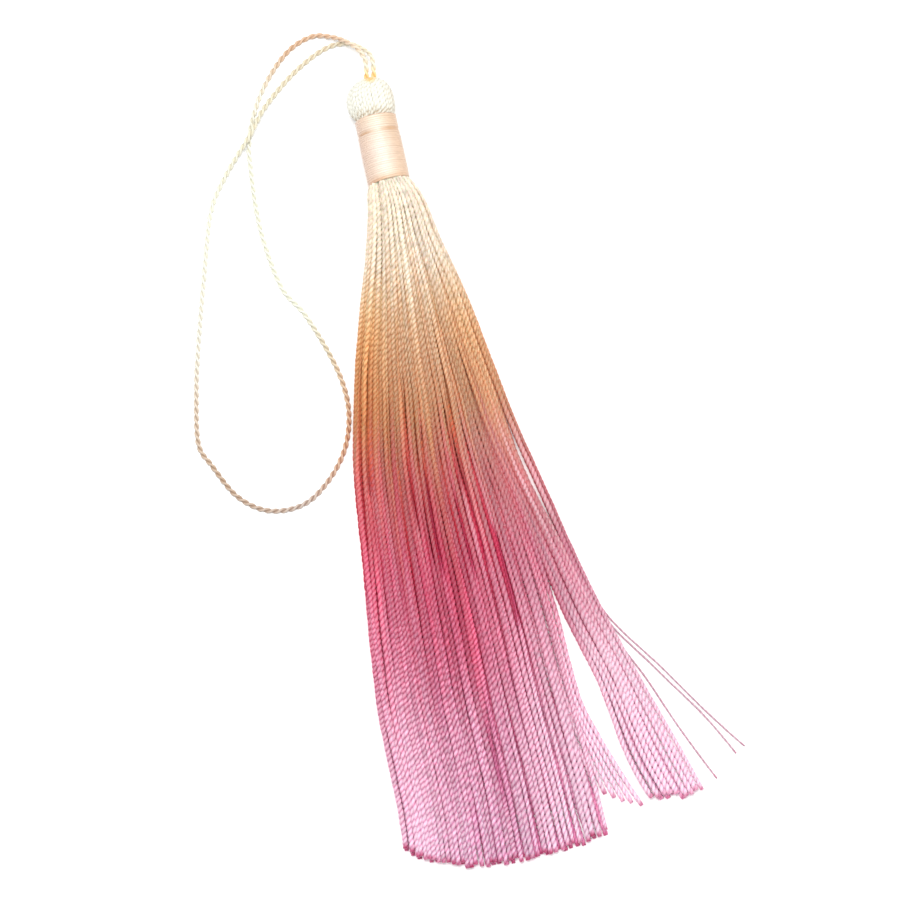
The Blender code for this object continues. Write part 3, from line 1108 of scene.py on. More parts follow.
    cut_reach: Span = (0.9, 0.2)
    cut_light: float = 0.6
    dull: Course = Course((52.0, 60.0, 76.0, 96.0), (0.0, 1.0, 0.6, 0.0))
    dull_loss: Color = (0.07, 0.02, 0.05)
    shared_tone: Drift = field(init=False)

    def colors(self, thread: Thread, drops: np.ndarray, end: float, sunk: np.ndarray,
               rng: np.random.Generator) -> tuple[np.ndarray, np.ndarray, np.ndarray]:
        """Return a thread's colours along its length.

        Args:
            thread: The thread.
            drops: Where to read them.
            end: The drop at which the thread is cut.
            sunk: How far it lies between its neighbours there, from 0 to 1.
            rng: The source of its unevenness.

        Returns:
            The screen colours of its plies' backs and of its grooves, with painted light and shade,
            and of its underside, painted as its shade.
        """
        band = self.shared_tone.at(thread.share, drops / SKIRT_END)
        own = self.own_drift.draw(rng, drops) + self.band_share * band
        dipped = drops + rng.normal(0.0, self.dip)
        dipped = dipped + self.band_dip * band * self.band_grows.at(drops)
        left = climb(thread.share, *self.left_side)
        tint = self._tint(thread, drops, left, band, rng)
        banded = self.banding.at(drops) * (1 - left * self.left_calm.at(drops))
        depth, start = self.dark_bands
        dark = depth * banded * np.clip(-own - start, 0.0, 1.0)
        # Painted shade: a thread sunk between its neighbours takes the deep colour, and so do the
        # dark bands.
        deeper = np.maximum(sunk * self.shown.at(drops), dark)
        deep_shade_share = self._deep_shade_share(thread, drops, left, deeper, rng)
        paler = self._paler(thread, drops, left, own, banded) * (1 - deep_shade_share)
        deep_shade_share, paler = deep_shade_share[:, None], paler[:, None]
        # The deep colour is painted shade, weaker in the lit upper layer.
        deep = self.deep.at(dipped) * (np.array(self.lit) if thread.upper else 1.0)
        pale, stray_grey, cut_color = (np.array(c) for c in (self.pale, self.stray_grey, self.cut_color))
        # The ply backs and grooves carry painted light and shade.
        ridge = mix(mix(self.ridge.at(dipped) * tint, deep, deep_shade_share), pale, paler)
        groove = mix(self.groove.at(dipped) * tint, deep * self.deep_groove, deep_shade_share)
        groove = mix(groove, pale, paler * self.pale_groove)
        # Painted shade on the sheltered sides, paler on faded threads.
        under = mix(self.under.at(dipped), np.array(self.pale_under_shade), paler)
        # The stray threads turn greyer further down.
        if thread.part is Part.STRAY:
            greying = self.stray_greying.at(drops)[:, None]
            ridge, under = mix(ridge, stray_grey, greying), mix(under, stray_grey, greying)
            groove = mix(groove, stray_grey * self.stray_grey_groove, greying)
        cut = climb(drops, end - self.cut_reach[0], end - self.cut_reach[1])[:, None]
        cut = cut * rng.uniform(*self.cut_depth)
        if thread.part is not Part.MAIN:
            cut = cut * self.cut_light
        ridge, groove = mix(ridge, cut_color, cut), mix(groove, cut_color, cut)
        if thread.part is Part.LOCK:
            dull = 1.0 - self.dull.at(drops)[:, None] * np.array(self.dull_loss)
            ridge, groove, under = ridge * dull, groove * dull, under * dull
        return np.clip(ridge, 0, 255), np.clip(groove, 0, 255), np.clip(under, 0, self.under_shade_most)

    def _tint(self, thread: Thread, drops: np.ndarray, left: float, band: np.ndarray,
              rng: np.random.Generator) -> np.ndarray:
        """Return how much of each colour channel is left along a thread.

        Args:
            thread: The thread.
            drops: Where to read it.
            left: How far the thread belongs to the left side.
            band: The unevenness that it shares with its neighbours.
            rng: The source of its own.

        Returns:
            Rows of red, green and blue, where 1 changes nothing.
        """
        tone = 1.0 + self.uneven.at(drops) * (rng.normal(0.0, 1.0) + self.cloud.draw(rng, drops))
        # Painted glints: quick changes of tone as light plays on the plies.
        painted_glint = self.fine_painted_glint.draw(rng, drops) + self.coarse_painted_glint.draw(rng, drops)
        tone = tone + self.painted_glint.at(drops) * painted_glint + self.band_tone * band
        aside = abs(thread.share - 0.5)
        middle = max(1.0 - aside / self.middle_reach, 0.0)
        tone = tone + middle * self.middle_light.at(drops)
        flank = max(left, self.right_gold * climb(thread.share, *self.right_flank))
        golden = flank * self.golden.at(drops)
        # Painted golden light on the upper layer's lowest rows, taken from the threads around them.
        if thread.row in self.inner_rows:
            golden = golden + climb(aside, *self.inner_middle) * self.inner_gold.at(drops)
        redder = middle * self.redder.at(drops)
        tint = 1.0 - golden[:, None] * np.array(self.golden_loss)
        tint = tint * (1.0 - redder[:, None] * np.array(self.redder_loss))
        return tint * tone[:, None]

    def _deep_shade_share(self, thread: Thread, drops: np.ndarray, left: float, deeper: np.ndarray,
                rng: np.random.Generator) -> np.ndarray:
        """Return how far the deep colour, as painted shade, shows along a thread.

        Args:
            thread: The thread.
            drops: Where to read it.
            left: How far the thread belongs to the left side.
            deeper: How far its bands and its place between its neighbours bring that colour out.
            rng: The source of its unevenness.

        Returns:
            One share for each drop.
        """
        if thread.ends_in(False, Part.LOCK):
            return np.full(len(drops), self.lower_lock)
        if thread.ends_in(False, Part.MAIN):
            top = rng.uniform(*self.lower_top)
            end = rng.uniform(*self.lower_end) * (1 - self.lower_left * left)
            return np.interp(drops, self.lower_bounds, (top, end))
        return deeper

    def _paler(self, thread: Thread, drops: np.ndarray, left: float, own: np.ndarray,
               banded: np.ndarray) -> np.ndarray:
        """Return how far a thread is faded along its length, a painted highlight included.

        Args:
            thread: The thread.
            drops: Where to read it.
            left: How far the thread belongs to the left side.
            own: Its unevenness.
            banded: How far bands show on it.

        Returns:
            One share for each drop.
        """
        right = climb(thread.share, *self.right_side)
        paler = right * self.right_fading.at(drops) + left * self.left_fading.at(drops)
        # Painted highlight on some lock threads where the right edge comes loose.
        if thread.ends_in(True, Part.LOCK) and thread.number in self.highlit_threads:
            middle, reach, light = self.painted_highlight_spot
            paler = paler + light * swell(drops, middle, reach)
        depth, start, most = self.light_bands
        paler = paler + depth * banded * np.clip(own - start, 0.0, most)
        return np.maximum(paler, self.paleness[thread.part] * climb(drops, *self.paling))


@dataclass
class Skirt:
    """The threads below the binding, from its bore to their cut ends.

    Attributes:
        rows, upper_row: How many threads stand in each row inside the binding, from the lowest
            row up, and the lowest row of those that end in the upper layer.
        row_order: The order in which four neighbouring rows take turns in a layer.
        row_levels: Each row's height once the rows have settled, as a share of the pile's.
        sections: The pile's form, in the columns that Form names.
        partings: How the skirt parts, in the columns that Edge names.
        strays, stray_lead, stray_ends: Where the three stray threads lie, as a drop and one
            place for each, how far before that they leave the lock, and where each is cut.
        cuts, cut_level, cut_spread: The drops where each part's threads are cut, by their
            places at one drop, and how far a thread's cut differs from that.
        upper_parts, lower_parts: How many threads of each layer go to each part, from the left.
        start: The drop at which the threads begin, inside the binding.
        fanned: The drops between which the rows under the binding fan out to two layers.
        parted: The drops between which the threads move over to their part.
        loosened: The drops between which unevenness sets in.
        widths, fullness: The threads' thickness by drop, and how much thicker they are there by
            layer and part.
        thickness, thinned: Each part's thickness near its cut ends, as a share, and where that
            sets in.
        width_drift, width_range, tip: How uneven a thread's thickness is, an upper thread's
            middle, spread, least and most, and the shares left at the last two rings.
        lays, lay_range, lay_drift, lay_ripple: The length of a full turn of the plies by drop,
            how much it differs from thread to thread, and its slow and quick changes.
        upper_rings, lower_rings, ring_lay: Rings to a turn in each layer, and the turn's length
            for that count.
        sway, tremor, lower_sway: How far each thread strays from its place and trembles beside
            its line, and the share of both that a lower thread has.
        bunching, calming: How far neighbours stray together, and the share of all unevenness
            that is left by drop.
        gathering, gathered, gathered_late, late_share: How far the middle of the skirt is drawn
            to the left, the drops between which that sets in first and later, and how much the
            later rest is.
        loosening, loose_spot, gap_sides, gap_outwards: How far a thin gap opens beside the right
            edge's threads, its drop and reach, the lock's places from which threads move inwards
            fully and from which they move outwards, and how far these do.
        lift, rise, lower_lift, lower_raise: How far neighbours rise together and each thread on
            its own, how much of that a lower thread rises, and how much higher it lies anyway.
        sinking, sinks_by: How far a thread drops between its neighbours, and how much by drop.
        sinking_drift, sinking_spread, sinking_less: What makes one thread sink and not another,
            how much that differs from thread to thread, and how much rarer it gets by drop.
        sinking_range, sinking_starts: Between which of its values a thread sinks, and where.
        sunk_thinner: How much thinner a sunken thread is, by drop.
        edge_zone, edge_drop: Places from the middle, from 0 to 1, between which the lower
            layer's threads drop, and how far.
        floor_share: How high a thread's middle line lies at least, as a share of its thickness.
        dye, finish: The threads' colours, with painted light and shade in them, and their finish.
        bunches: The pieces, and the order number of each one's first thread.
        seed: Where the random draws start.
        shared_sizes: How many values of what neighbours share lie across and along the skirt:
            of how they stray, of how they rise and of their tone.
        shared_shift, shared_lift: How far neighbours stray and rise together.
    """

    rows: tuple[int, ...] = (8, 12, 14, 14, 14, 14, 12, 8)
    upper_row: int = 4
    row_order: tuple[int, ...] = (0, 2, 1, 3)
    row_levels: tuple[float, ...] = (0.0, 0.5, 0.74, 0.78, 0.9, 0.92, 0.98, 1.0)
    sections: tuple[tuple[float, ...], ...] = (
        (-3.0, -3.0, 3.0, 0.95, 5.7, 1.0, 0.0),
        (-0.5, -3.05, 3.05, 0.9, 5.8, 1.0, 0.0),
        (1.4, -3.65, 4.1, 0.5, 6.3, 1.0, 0.0),
        (4.0, -4.15, 5.1, 0.2, 6.6, 1.0, 0.0),
        (10.0, -5.7, 6.2, 0.0, 6.3, 0.85, 0.3),
        (20.0, -9.0, 8.5, 0.0, 5.3, 0.85, 1.0),
        (32.0, -12.7, 10.5, 0.0, 4.0, 0.65, 1.0),
        (46.0, -15.75, 12.7, 0.0, 3.2, 0.70, 1.0),
        (60.0, -17.2, 15.6, 0.0, 2.6, 0.80, 1.0),
        (75.0, -18.8, 19.2, 0.0, 1.9, 0.90, 2.0),
        (88.0, -19.7, 23.1, 0.0, 1.7, 1.0, 2.0),
        (100.0, -19.7, 27.1, 0.0, 1.65, 1.0, 2.0),
        (114.0, -20.9, 31.3, 0.0, 1.65, 1.0, 2.0),
    )
    partings: tuple[tuple[float, ...], ...] = (
        (32.0, 6.9, 4.6, 6.6, 7.1),
        (46.0, 8.1, 5.6, 9.4, 8.5),
        (60.0, 9.5, 6.4, 10.8, 10.3),
        (75.0, 11.0, 7.6, 12.3, 12.9),
        (88.0, 11.6, 8.6, 12.9, 16.2),
        (100.0, 12.3, 10.9, 16.2, 17.9),
        (114.0, 13.0, 12.9, 21.9, 22.6),
    )
    strays: tuple[tuple[float, ...], ...] = (
        (75.0, 17.7, 18.35, 19.05),
        (88.0, 23.75, 26.3, 27.3),
        (97.0, 27.3, 32.2, 33.2),
        (114.0, 35.0, 40.6, 46.0),
    )
    stray_lead: float = 14.0
    stray_ends: tuple[float, ...] = (106.6, 103.4, 102.1)
    cuts: dict[Part, Course] = field(
        default_factory=lambda: {
            Part.MAIN: Course(
                (-20.4, -19.2, -17.0, -12.4, -7.6, -1.5, 6.2, 10.9, 12.6),
                (106.9, 108.2, 109.7, 111.0, 112.6, 113.1, 112.6, 112.1, 110.6),
            ),
            Part.SHORT: Course((12.6, 15.9, 19.6), (105.0, 107.0, 109.4)),
            Part.LOCK: Course((21.1, 25.5, 29.4), (107.6, 108.4, 107.7)),
        }
    )
    cut_level: float = 107.0
    cut_spread: float = 0.45
    upper_parts: tuple[tuple[Part, int], ...] = ((Part.MAIN, 39), (Part.LOCK, 9))
    lower_parts: tuple[tuple[Part, int], ...] = (
        (Part.MAIN, 34), (Part.SHORT, 6), (Part.LOCK, 5), (Part.STRAY, 3),
    )
    start: float = -2.0
    fanned: Span = (4.0, 60.0)
    parted: Span = (42.0, 72.0)
    loosened: Span = (5.0, 40.0)
    widths: Course = Course(
        (-3.0, 0.0, 8.0, 20.0, 36.0, 58.0, 80.0, 114.0),
        (0.62, 0.73, 0.82, 0.77, 0.74, 0.78, 0.82, 0.82),
    )
    fullness: dict[tuple[bool, Part], Course] = field(
        default_factory=lambda: {
            (True, Part.MAIN): Course((58.0, 78.0, 106.0, 110.0), (1.0, 1.13, 1.13, 1.0)),
            (False, Part.MAIN): Course(
                (28.0, 42.0, 62.0, 74.0, 103.0, 109.0), (1.1, 1.3, 1.3, 1.36, 1.36, 1.0)
            ),
            (False, Part.SHORT): Course((28.0, 42.0, 62.0, 74.0), (1.1, 1.3, 1.3, 1.0)),
            (False, Part.LOCK): Course((60.0, 78.0, 103.0, 107.0), (1.0, 1.2, 1.2, 1.0)),
        }
    )
    thickness: dict[Part, float] = field(
        default_factory=lambda: {
            Part.MAIN: 1.0, Part.SHORT: 1.0, Part.LOCK: 1.15, Part.STRAY: 0.42,
        }
    )
    thinned: Span = (55.0, 75.0)
    width_drift: Wander = Wander(0.07, 3.0, 12.0)
    width_range: tuple[float, float, float, float] = (0.98, 0.15, 0.66, 1.16)
    tip: Span = (0.98, 0.9)
    lays: Course = Course((0.0, 20.0, 114.0), (1.85, 1.95, 2.0))
    lay_range: Span = (0.82, 1.16)
    lay_drift: Wander = Wander(0.12, 5.0, 20.0)
    lay_ripple: Wander = Wander(0.16, 1.6, 4.0)
    upper_rings: int = 8
    lower_rings: int = 6
    ring_lay: float = 1.95
    sway: Wander = Wander(0.32, 50.0, 160.0)
    tremor: Wander = Wander(0.035, 3.0, 9.0)
    lower_sway: float = 0.4
    bunching: float = 0.2
    calming: Course = Course((58.0, 80.0, 105.0), (1.0, 0.85, 0.6375))
    gathering: float = 1.7
    gathered: Span = (34.0, 62.0)
    gathered_late: Span = (62.0, 110.0)
    late_share: float = 0.35
    loosening: float = 0.62
    loose_spot: Span = (52.0, 9.0)
    gap_sides: Span = (0.7, 0.78)
    gap_outwards: float = 0.25
    lift: float = 0.16
    rise: Wander = Wander(0.12, 14.0, 50.0)
    lower_lift: Course = Course((45.0, 65.0), (0.75, 0.3))
    lower_raise: float = 0.05
    sinking: float = 0.42
    sinks_by: Course = Course((5.0, 45.0, 65.0, 85.0), (0.1, 1.0, 1.0, 0.5))
    sinking_drift: Wander = Wander(1.0, 45.0, 120.0)
    sinking_spread: float = 0.12
    sinking_less: Course = Course((60.0, 80.0), (0.0, 0.32))
    sinking_range: Span = (0.55, 0.8)
    sinking_starts: Span = (6.0, 26.0)
    sunk_thinner: Course = Course((60.0, 85.0), (0.3, 0.4))
    edge_zone: Span = (0.75, 1.0)
    edge_drop: float = 0.8
    floor_share: float = 0.51
    dye_and_painted_light: SkirtDyeAndPaintedLight = field(default_factory=SkirtDyeAndPaintedLight)
    finish: YarnFinish = YarnFinish(
        name="rose_threads", roughness=0.45, specular=0.22, sheen=0.0, coarseness=20.0,
        lean=-0.6, relief=0.00003, glow=0.4,
    )
    bunches: tuple[tuple[str, int], ...] = (
        ("skirt_lower_left", 0), ("skirt_lower_right", 24), ("skirt_upper_left", 48),
        ("skirt_upper_right", 72),
    )
    seed: int = 7
    shared_sizes: tuple[tuple[int, int], ...] = ((17, 4), (14, 5), (20, 5))
    shared_shift: Drift = field(init=False)
    shared_lift: Drift = field(init=False)

    def form(self, column: Form, drops: np.ndarray) -> np.ndarray:
        """Return one measure of the pile's form along a smooth curve."""
        table = np.array(self.sections)
        return smooth_table(table[:, Form.DROP], table[:, column], drops)

    def edge(self, column: Edge, drops: np.ndarray) -> np.ndarray:
        """Return one edge of the skirt's parts, held where the parts are still together."""
        table = np.array(self.partings)
        return smooth_table(table[:, Edge.DROP], table[:, column], drops)

    def threads(self) -> list[Thread]:
        """Place every thread in its row and in its layer.

        Returns:
            The threads, layer by layer from the lower one up, each from left to right.
        """
        widest, steps = max(self.rows), len(self.row_order)
        made = []
        for row, count in enumerate(self.rows):
            lead = self.row_order[row % steps] / steps
            first = (widest - count) // 2
            for column in range(first, first + count):
                made.append(Thread(row, column + lead, row >= self.upper_row))
        for upper, parts in ((False, self.lower_parts), (True, self.upper_parts)):
            members = sorted((t for t in made if t.upper is upper), key=lambda t: t.turn)
            for rank, thread in enumerate(members):
                thread.share = (rank + 0.5) / len(members)
            self._deal(members, parts)
        return sorted(made, key=lambda t: (t.upper, t.turn))

    @staticmethod
    def _deal(members: list[Thread], parts: tuple[tuple[Part, int], ...]) -> None:
        """Deal a layer's threads out to its parts, from the left edge to the right one.

        Args:
            members: The layer's threads in their order.
            parts: The parts and how many threads each takes.
        """
        counts = dict(parts)
        beside = counts[Part.LOCK] + counts.get(Part.STRAY, 0)
        start = 0
        for part, count in parts:
            lead = counts[Part.LOCK] if part is Part.STRAY else 0
            across = beside if part in (Part.LOCK, Part.STRAY) else count
            for number, thread in enumerate(members[start:start + count]):
                thread.part = part
                thread.number = number
                thread.part_share = (lead + number + 0.5) / across
            start += count

    def fan_place(self, thread: Thread, drops: np.ndarray) -> np.ndarray:
        """Return a thread's places across the skirt where the layers have fanned out.

        Args:
            thread: The thread.
            drops: Where to read them.

        Returns:
            One place for each drop.
        """
        left, right = self.form(Form.LEFT, drops), self.form(Form.RIGHT, drops)
        if thread.part is Part.SHORT:
            left, right = self.edge(Edge.LOWER_MAIN, drops), self.edge(Edge.SHORT, drops)
        elif thread.part is Part.MAIN:
            right = self.edge(Edge.UPPER_MAIN if thread.upper else Edge.LOWER_MAIN, drops)
        else:
            left = self.edge(Edge.LOCK, drops)
        places = mix(left, right, thread.part_share)
        if thread.part is Part.STRAY:
            own = np.array(self.strays)
            leaves = own[0, 0] - self.stray_lead
            stops = np.concatenate(([leaves], own[:, 0]))
            values = np.concatenate(
                ([np.interp(leaves, drops, places)], own[:, 1 + thread.number])
            )
            places = np.where(drops > leaves, smooth_table(stops, values, drops), places)
        return places

    def end(self, thread: Thread) -> float:
        """Return where a thread is cut.

        Args:
            thread: The thread.

        Returns:
            The drop of its cut end.
        """
        if thread.part is Part.STRAY:
            return self.stray_ends[thread.number]
        place = self.fan_place(thread, np.array([self.cut_level]))
        return float(self.cuts[thread.part].at(place)[0])

    def across(self, thread: Thread, drops: np.ndarray) -> np.ndarray:
        """Return a thread's places across the skirt, before any unevenness.

        Args:
            thread: The thread.
            drops: Where to read them.

        Returns:
            One place for each drop.
        """
        last = np.array(self.fanned[1:])
        edges = self.form(Form.LEFT, last), self.form(Form.RIGHT, last)
        fan_share = float(((self.fan_place(thread, last) - edges[0]) / (edges[1] - edges[0]))[0])
        grid_share = (thread.turn + 0.5 / len(self.row_order)) / max(self.rows)
        share = np.interp(drops, self.fanned, (grid_share, fan_share))
        early = mix(self.form(Form.LEFT, drops), self.form(Form.RIGHT, drops), share)
        places = mix(early, self.fan_place(thread, drops), ease(climb(drops, *self.parted)))
        if thread.ends_in(True, Part.MAIN):
            pull = ease(climb(drops, *self.gathered))
            pull = pull + self.late_share * climb(drops, *self.gathered_late)
            bow = thread.part_share ** BOW_POWER * (1 - thread.part_share) / BOW_PEAK
            places = places - self.gathering * pull * bow
        return places

    def height(self, thread: Thread, drops: np.ndarray, across: np.ndarray) -> np.ndarray:
        """Return the height of a thread's middle line, before any unevenness.

        Args:
            thread: The thread.
            drops: Where to read it.
            across: Its places across the skirt there.

        Returns:
            One height for each drop.
        """
        left, right = self.form(Form.LEFT, drops), self.form(Form.RIGHT, drops)
        settled = self.form(Form.SETTLED, drops)
        first, later = thread.row / (len(self.rows) - 1), self.row_levels[thread.row]
        level = mix(first, later, climb(settled, 0.0, 1.0))
        level = level + (float(thread.upper) - later) * climb(settled, 1.0, 2.0)
        offset = np.clip((2 * across - left - right) / (right - left), -1.0, 1.0)
        dome = 1.0 + (self.form(Form.EDGE_HEIGHT, drops) - 1.0) * offset ** 2
        if not thread.upper:
            level = level * (1.0 - self.edge_drop * climb(np.abs(offset), *self.edge_zone) ** 2)
        width = self.widths.at(drops)
        top = self.form(Form.HEIGHT, drops) * dome
        return self.form(Form.UNDERSIDE, drops) + level * (top - width) + width / 2

    def path(self, thread: Thread, drops: np.ndarray, widths: np.ndarray, sunk: np.ndarray,
             rng: np.random.Generator) -> np.ndarray:
        """Return a thread's middle line.

        Args:
            thread: The thread.
            drops: Where to read it.
            widths: Its thickness there.
            sunk: How far it lies between its neighbours there, from 0 to 1.
            rng: The source of its own unevenness.

        Returns:
            Rows of x, y, z in millimetres in the neck's frame.
        """
        across = self.across(thread, drops)
        height = self.height(thread, drops, across)
        loose = climb(drops, *self.loosened)
        calm = self.calming.at(drops)
        places = drops / SKIRT_END
        stray = self.sway.draw(rng, drops) + self.tremor.draw(rng, drops)
        shift = stray * (1.0 if thread.upper else self.lower_sway)
        shift = (shift + self.bunching * self.shared_shift.at(thread.share, places)) * calm
        if thread.part in (Part.LOCK, Part.STRAY):
            gap = self.loosening * swell(drops, *self.loose_spot)
            shift = shift + gap * self._side_of_gap(thread)
        lift = self.lift * (1.0 + self.shared_lift.at(thread.share, places))
        lift = (lift + np.abs(self.rise.draw(rng, drops))) * calm
        if thread.upper:
            lift = lift - self.sinking * sunk * self.sinks_by.at(drops)
        else:
            lift = lift * self.lower_lift.at(drops) + self.lower_raise
        height = np.maximum(height + lift * loose, self.floor_share * widths)
        return np.stack((across + shift * loose, -drops, height), axis=-1)

    def _side_of_gap(self, thread: Thread) -> float:
        """Tell how a thread moves where the right edge comes loose.

        Args:
            thread: A thread of the lock or a stray one.

        Returns:
            A share of the gap's width, below 0 inwards and above 0 outwards.
        """
        inwards, outwards = self.gap_sides
        if thread.part_share > outwards:
            return self.gap_outwards
        return -min(thread.part_share / inwards, 1.0)

    def sunken(self, thread: Thread, drops: np.ndarray, rng: np.random.Generator) -> np.ndarray:
        """Return how far a thread lies between its neighbours.

        Args:
            thread: The thread.
            drops: Where to read it.
            rng: The source of chance.

        Returns:
            One share for each drop.
        """
        own = self.sinking_drift.draw(rng, drops) + rng.normal(0.0, self.sinking_spread)
        own = own - self.sinking_less.at(drops)
        if not thread.ends_in(True, Part.MAIN):
            return np.zeros(len(drops))
        return climb(own, *self.sinking_range) * climb(drops, *self.sinking_starts)

    def run(self, thread: Thread, rng: np.random.Generator) -> YarnRun:
        """Work out one thread as a length of yarn.

        Args:
            thread: The thread.
            rng: The source of its unevenness.

        Returns:
            The thread, ready to be swept.
        """
        end = self.end(thread) + rng.uniform(-self.cut_spread, self.cut_spread)
        spacing = self.ring_lay / (self.upper_rings if thread.upper else self.lower_rings)
        drops = np.linspace(self.start, end, round((end - self.start) / spacing))
        lays = self.lays.at(drops) * rng.uniform(*self.lay_range)
        lays = lays * (1.0 + self.lay_drift.draw(rng, drops))
        lays = lays * (1.0 + self.lay_ripple.draw(rng, drops))
        thinner = climb(drops, *self.thinned) * (1 - self.thickness[thread.part])
        widths = self.widths.at(drops) * (1 - thinner) * (1.0 + self.width_drift.draw(rng, drops))
        if thread.upper:
            middle, spread, least, most = self.width_range
            widths = widths * np.clip(rng.normal(middle, spread), least, most)
        if (thread.upper, thread.part) in self.fullness:
            widths = widths * self.fullness[thread.upper, thread.part].at(drops)
        sunk = self.sunken(thread, drops, rng)
        widths = widths * (1.0 - self.sunk_thinner.at(drops) * sunk)
        widths[-len(self.tip):] *= self.tip
        ridge, groove, under = self.dye_and_painted_light.colors(thread, drops, end, sunk, rng)
        return YarnRun(
            points=self.path(thread, drops, widths, sunk, rng),
            widths=widths,
            lays=lays,
            ridge=ridge,
            groove=groove,
            start_turn=rng.uniform(0.0, math.tau),
            up=UPWARDS,
            under=under,
        )

    def build(self) -> list[bpy.types.Object]:
        """Model every thread, joined in a few bunches.

        Returns:
            The bunches.
        """
        rng = np.random.default_rng(self.seed)
        shared = [Drift(rng, across, along) for across, along in self.shared_sizes]
        self.shared_shift, self.shared_lift, self.dye_and_painted_light.shared_tone = shared
        threads = self.threads()
        material = self.finish.material()
        made = []
        stops = [*(first for _, first in self.bunches[1:]), len(threads)]
        for (name, first), stop in zip(self.bunches, stops):
            mesh = YarnMesh(PLAIN_YARN, Twist.LEFT)
            for thread in threads[first:stop]:
                mesh.add(self.run(thread, rng))
            item = mesh.build(name)
            settle(item, material)
            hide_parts("thread_bundle")
            made.append(item)
        return made


# --- The head and the binding -----------------------------


